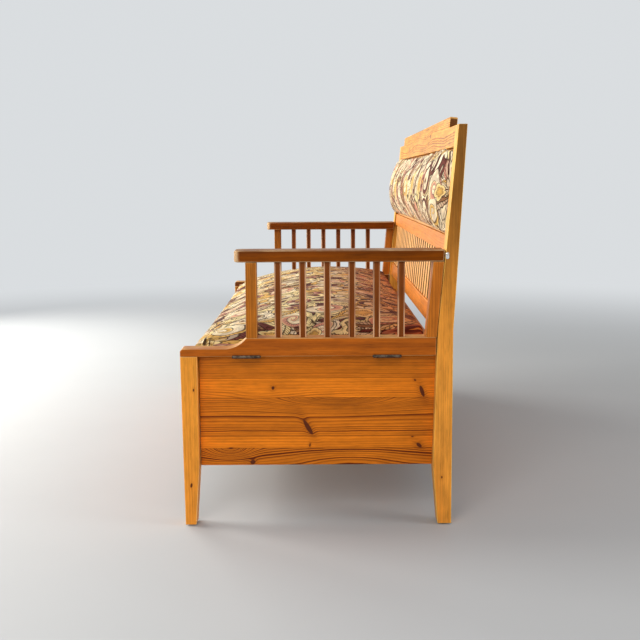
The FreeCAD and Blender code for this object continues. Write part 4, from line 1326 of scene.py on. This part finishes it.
    def map_cloth(self, piece: bpy.types.Object) -> None:
        """Lay the cloth's own map over the cushion, in metres, along its length and round its section.

        Args:
            piece: the finished mesh.
        """
        mesh = piece.data
        points = Bench.points(piece)
        height = self.base_plane(points)
        across = self.across(points)
        middle = (across.max() + across.min()) / 2
        angle = np.arctan2(height - 0.004, across - middle)
        section = np.abs(points[:, 0]) < 0.3
        order = np.argsort(angle[section])
        ring = np.column_stack((across[section][order], height[section][order]))
        bins = np.linspace(-math.pi, math.pi, ROUND_STEPS + 1)
        which = np.clip(np.digitize(angle[section][order], bins) - 1, 0, ROUND_STEPS - 1)
        centres, runs = [], []
        total = 0.0
        last = None
        for number in range(ROUND_STEPS):
            rows = ring[which == number]
            if not len(rows):
                continue
            spot = rows.mean(axis=0)
            total += 0.0 if last is None else float(np.linalg.norm(spot - last))
            last = spot
            centres.append((bins[number] + bins[number + 1]) / 2)
            runs.append(total)
        round_section = np.interp(angle, centres, runs)
        half_length = np.abs(points[:, 0]).max()
        end_share = np.clip(1 + (np.abs(points[:, 0]) - half_length) / MAP_END, 0, 1)
        drop = np.maximum(height[section].max() - height, 0) * end_share ** 2
        along = points[:, 0] + np.sign(points[:, 0]) * drop
        loops = np.empty(len(mesh.loops), dtype=np.int64)
        mesh.loops.foreach_get("vertex_index", loops)
        layer = mesh.uv_layers.new(name="cloth")
        flat = np.column_stack((along[loops], round_section[loops]))
        layer.data.foreach_set("uv", flat.ravel())

    def build(self) -> bpy.types.Object:
        """Make the cushion and put it in the CAD cushion's place.

        Returns:
            The cushion.
        """
        piece = self.start()
        self.blow_up(piece)
        smooth = piece.modifiers.new("smooth", "SMOOTH")
        smooth.factor = 0.5
        smooth.iterations = 6
        Bench.apply(piece, smooth)
        finer = piece.modifiers.new("finer", "SUBSURF")
        finer.levels = finer.render_levels = 1
        Bench.apply(piece, finer)
        if self.fold_depth:
            self.gather(piece)
        if self.lip:
            self.hang_over(piece)
        if self.swell:
            self.swell_over(piece)
        Bench.take(piece)
        bpy.ops.object.shade_smooth()
        self.map_cloth(piece)
        piece.data.materials.append(self.finish.make())
        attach(piece, "frame")
        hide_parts(self.node)
        return piece


# Sub-assemblies

@dataclass
class Woodwork:
    """The pine pieces, each carried over from the CAD with its own finish."""

    finishes: dict[str, Pine] = field(default_factory=pines)

    def dress(self) -> int:
        """Give every pine piece its finish.

        Returns:
            How many pieces were dressed.
        """
        made: dict[str, bpy.types.Material] = {}
        for node, finish in self.finishes.items():
            if finish.name not in made:
                made[finish.name] = finish.make()
            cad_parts[node].material_slots[0].material = made[finish.name]
        return len(self.finishes)


@dataclass
class Ironwork:
    """Hinges, turn buttons and glides."""

    iron: AgedMetal = AgedMetal("hinge_iron", srgb(104, 90, 76), srgb(52, 42, 34), srgb(110, 66, 36),
                                age=0.75, roughness=0.42, metal=0.8)
    steel: AgedMetal = AgedMetal("catch_steel", srgb(222, 222, 220), srgb(168, 164, 158), srgb(120, 108, 96),
                                 age=0.25, roughness=0.24, metal=0.9)
    glide: AgedMetal = AgedMetal("glide_steel", srgb(150, 148, 144), srgb(96, 92, 88), srgb(86, 70, 56),
                                 age=0.6, roughness=0.5, metal=0.9)

    def dress(self) -> int:
        """Give every metal piece its finish.

        Returns:
            How many pieces were dressed.
        """
        finishes = {"hinge_": self.iron.make(), "turn_button": self.steel.make(), "glide": self.glide.make()}
        count = 0
        for name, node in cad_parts.items():
            for word, material in finishes.items():
                if word in name:
                    node.material_slots[0].material = material
                    count += 1
        return count


@dataclass(frozen=True)
class Lamp:
    """A soft square lamp: where it hangs, the point that it faces, its side, its watts and its colour."""

    name: str
    spot: tuple[float, float, float]
    aim: tuple[float, float, float]
    size: float
    power: float
    colour: Colour

    def hang(self) -> None:
        """Hang it."""
        light = bpy.data.lights.new(self.name, "AREA")
        light.size = self.size
        light.energy = self.power
        light.color = self.colour
        item = bpy.data.objects.new(self.name, light)
        bpy.context.scene.collection.objects.link(item)
        turn = (Vector(self.aim) - Vector(self.spot)).to_track_quat("-Z", "Y").to_matrix().to_4x4()
        item.matrix_world = Matrix.Translation(Vector(self.spot)) @ turn


LAMPS = (
    Lamp("window", (-0.2, -3.4, 1.7), (0.0, 0.0, 0.5), 1.6, 112, (1.0, 0.98, 0.92)),
    Lamp("far window", (-2.4, -2.5, 1.5), (0.0, 0.0, 0.6), 2.0, 104, (1.0, 0.98, 0.92)),
    Lamp("room", (3.9, -0.8, 1.9), (0.5, 0.0, 0.4), 2.0, 62, (1.0, 0.985, 0.97)),
    Lamp("side", (1.7, 3.3, 1.2), (0.3, 0.0, 0.6), 1.4, 42, (1.0, 0.98, 0.94)),
)


@dataclass
class Studio:
    """A pale floor that fades into the backdrop, soft lamps and the camera."""

    view: ViewPoint = ViewPoint()
    lamps: tuple[Lamp, ...] = LAMPS
    floor_size: float = 60.0
    floor_colour: Colour = (0.50, 0.51, 0.52)
    fade: tuple[float, float] = (1.5, 5.5)
    backdrop: Colour = (0.70, 0.725, 0.745)
    air: Colour = (0.97, 0.98, 1.0)
    ambient: float = 0.32

    def floor(self) -> None:
        """Lay the floor, which shows pale to the camera and keeps the bench's shadow."""
        Bench.clear()
        bpy.ops.mesh.primitive_grid_add(x_subdivisions=4, y_subdivisions=4, size=self.floor_size)
        floor = bpy.context.object
        floor.name = "floor"
        s = Shader("floor")
        x, y, _ = s.place()
        mottle = s.cloud(x * 3, y * 3, 0.0, 4.0) * 0.05 + 0.97
        material = s.finish({"Base Color": s.shade(self.floor_colour, mottle), "Roughness": 0.7})
        out = next(node for node in s.tree.nodes if node.type == "OUTPUT_MATERIAL")
        lit = out.inputs[0].links[0].from_socket
        pale = s.node("ShaderNodeEmission", None, {0: self.backdrop, 1: 1.0}).outputs[0]
        far = (x * x + y * y).root().ease(*self.fade)
        mixed = s.node("ShaderNodeMixShader", None, {0: far * s.seen(), 1: lit, 2: pale}).outputs[0]
        s.tree.links.new(mixed, out.inputs[0])
        floor.data.materials.append(material)

    def world(self) -> None:
        """Light all round, and show the pale backdrop to the camera, to gloss and through glass."""
        world = bpy.data.worlds.new("studio")
        bpy.context.scene.world = world
        s = Shader("studio", world)
        soft = s.node("ShaderNodeBackground", None, {0: self.air, 1: self.ambient}).outputs[0]
        drop = s.node("ShaderNodeBackground", None, {0: self.backdrop, 1: 1.0}).outputs[0]
        mixed = s.node("ShaderNodeMixShader", None, {0: s.seen(), 1: soft, 2: drop}).outputs[0]
        s.node("ShaderNodeOutputWorld", None, {0: mixed})

    def camera(self) -> None:
        """Stand the camera at the photograph's viewing angle."""
        data = bpy.data.cameras.new("camera")
        data.lens = self.view.lens
        data.sensor_width = self.view.sensor
        camera = bpy.data.objects.new("camera", data)
        bpy.context.scene.collection.objects.link(camera)
        camera.matrix_world = self.view.matrix()
        bpy.context.scene.camera = camera

    def set_up(self) -> None:
        """Set the whole studio up."""
        self.floor()
        self.world()
        for lamp in self.lamps:
            lamp.hang()
        self.camera()
        bpy.context.scene.view_settings.view_transform = "Standard"


def main() -> None:
    """Build the bench's visual pieces, dress the rest and set up the studio."""
    logging.basicConfig(level=logging.INFO, format="%(name)s: %(message)s")
    log.info("pine pieces dressed: %d", Woodwork().dress())
    log.info("metal pieces dressed: %d", Ironwork().dress())
    seat_tucks = (Tuck(0.768, -0.2935, 0.446, 0.0052, 3.0, 6.5), Tuck(0.784, -0.2800, 0.447, 0.0022, 6.0, 11.0),
                  Tuck(0.788, -0.2690, 0.447, 0.0016, 7.0, 9.0))
    back_tucks = (Tuck(0.796, 0.2900, 0.728, 0.0090, 1.0, 1.3), Tuck(0.742, 0.2850, 0.7175, 0.0060, 0.8, 5.0),
                  Tuck(0.795, 0.2980, 0.893, 0.0080, 1.3, 1.3))
    seat_cloth = Tapestry("seat_tapestry", tucks=seat_tucks)
    back_cloth = Tapestry("back_tapestry", seed=5.11, plain=0.56, dusk=(1.0, 1.0, 1.0), tucks=back_tucks)
    seat = Cushion("seat_cushion", "seat_tapestry", seat_cloth, voxel=0.009, shrink=0.004, cap=0.007,
                   fold_depth=0.0022, lip=0.016)
    back = Cushion("back_cushion", "back_tapestry", back_cloth, voxel=0.0065, shrink=0.003, cap=0.006,
                   lean=5.14, flat_side=1, fold_depth=0.0018, swell=0.013)
    for cushion in (seat, back):
        piece = cushion.build()
        log.info("%s: %d faces", piece.name, len(piece.data.polygons))
    Studio().set_up()


if __name__ == "__main__":
    main()
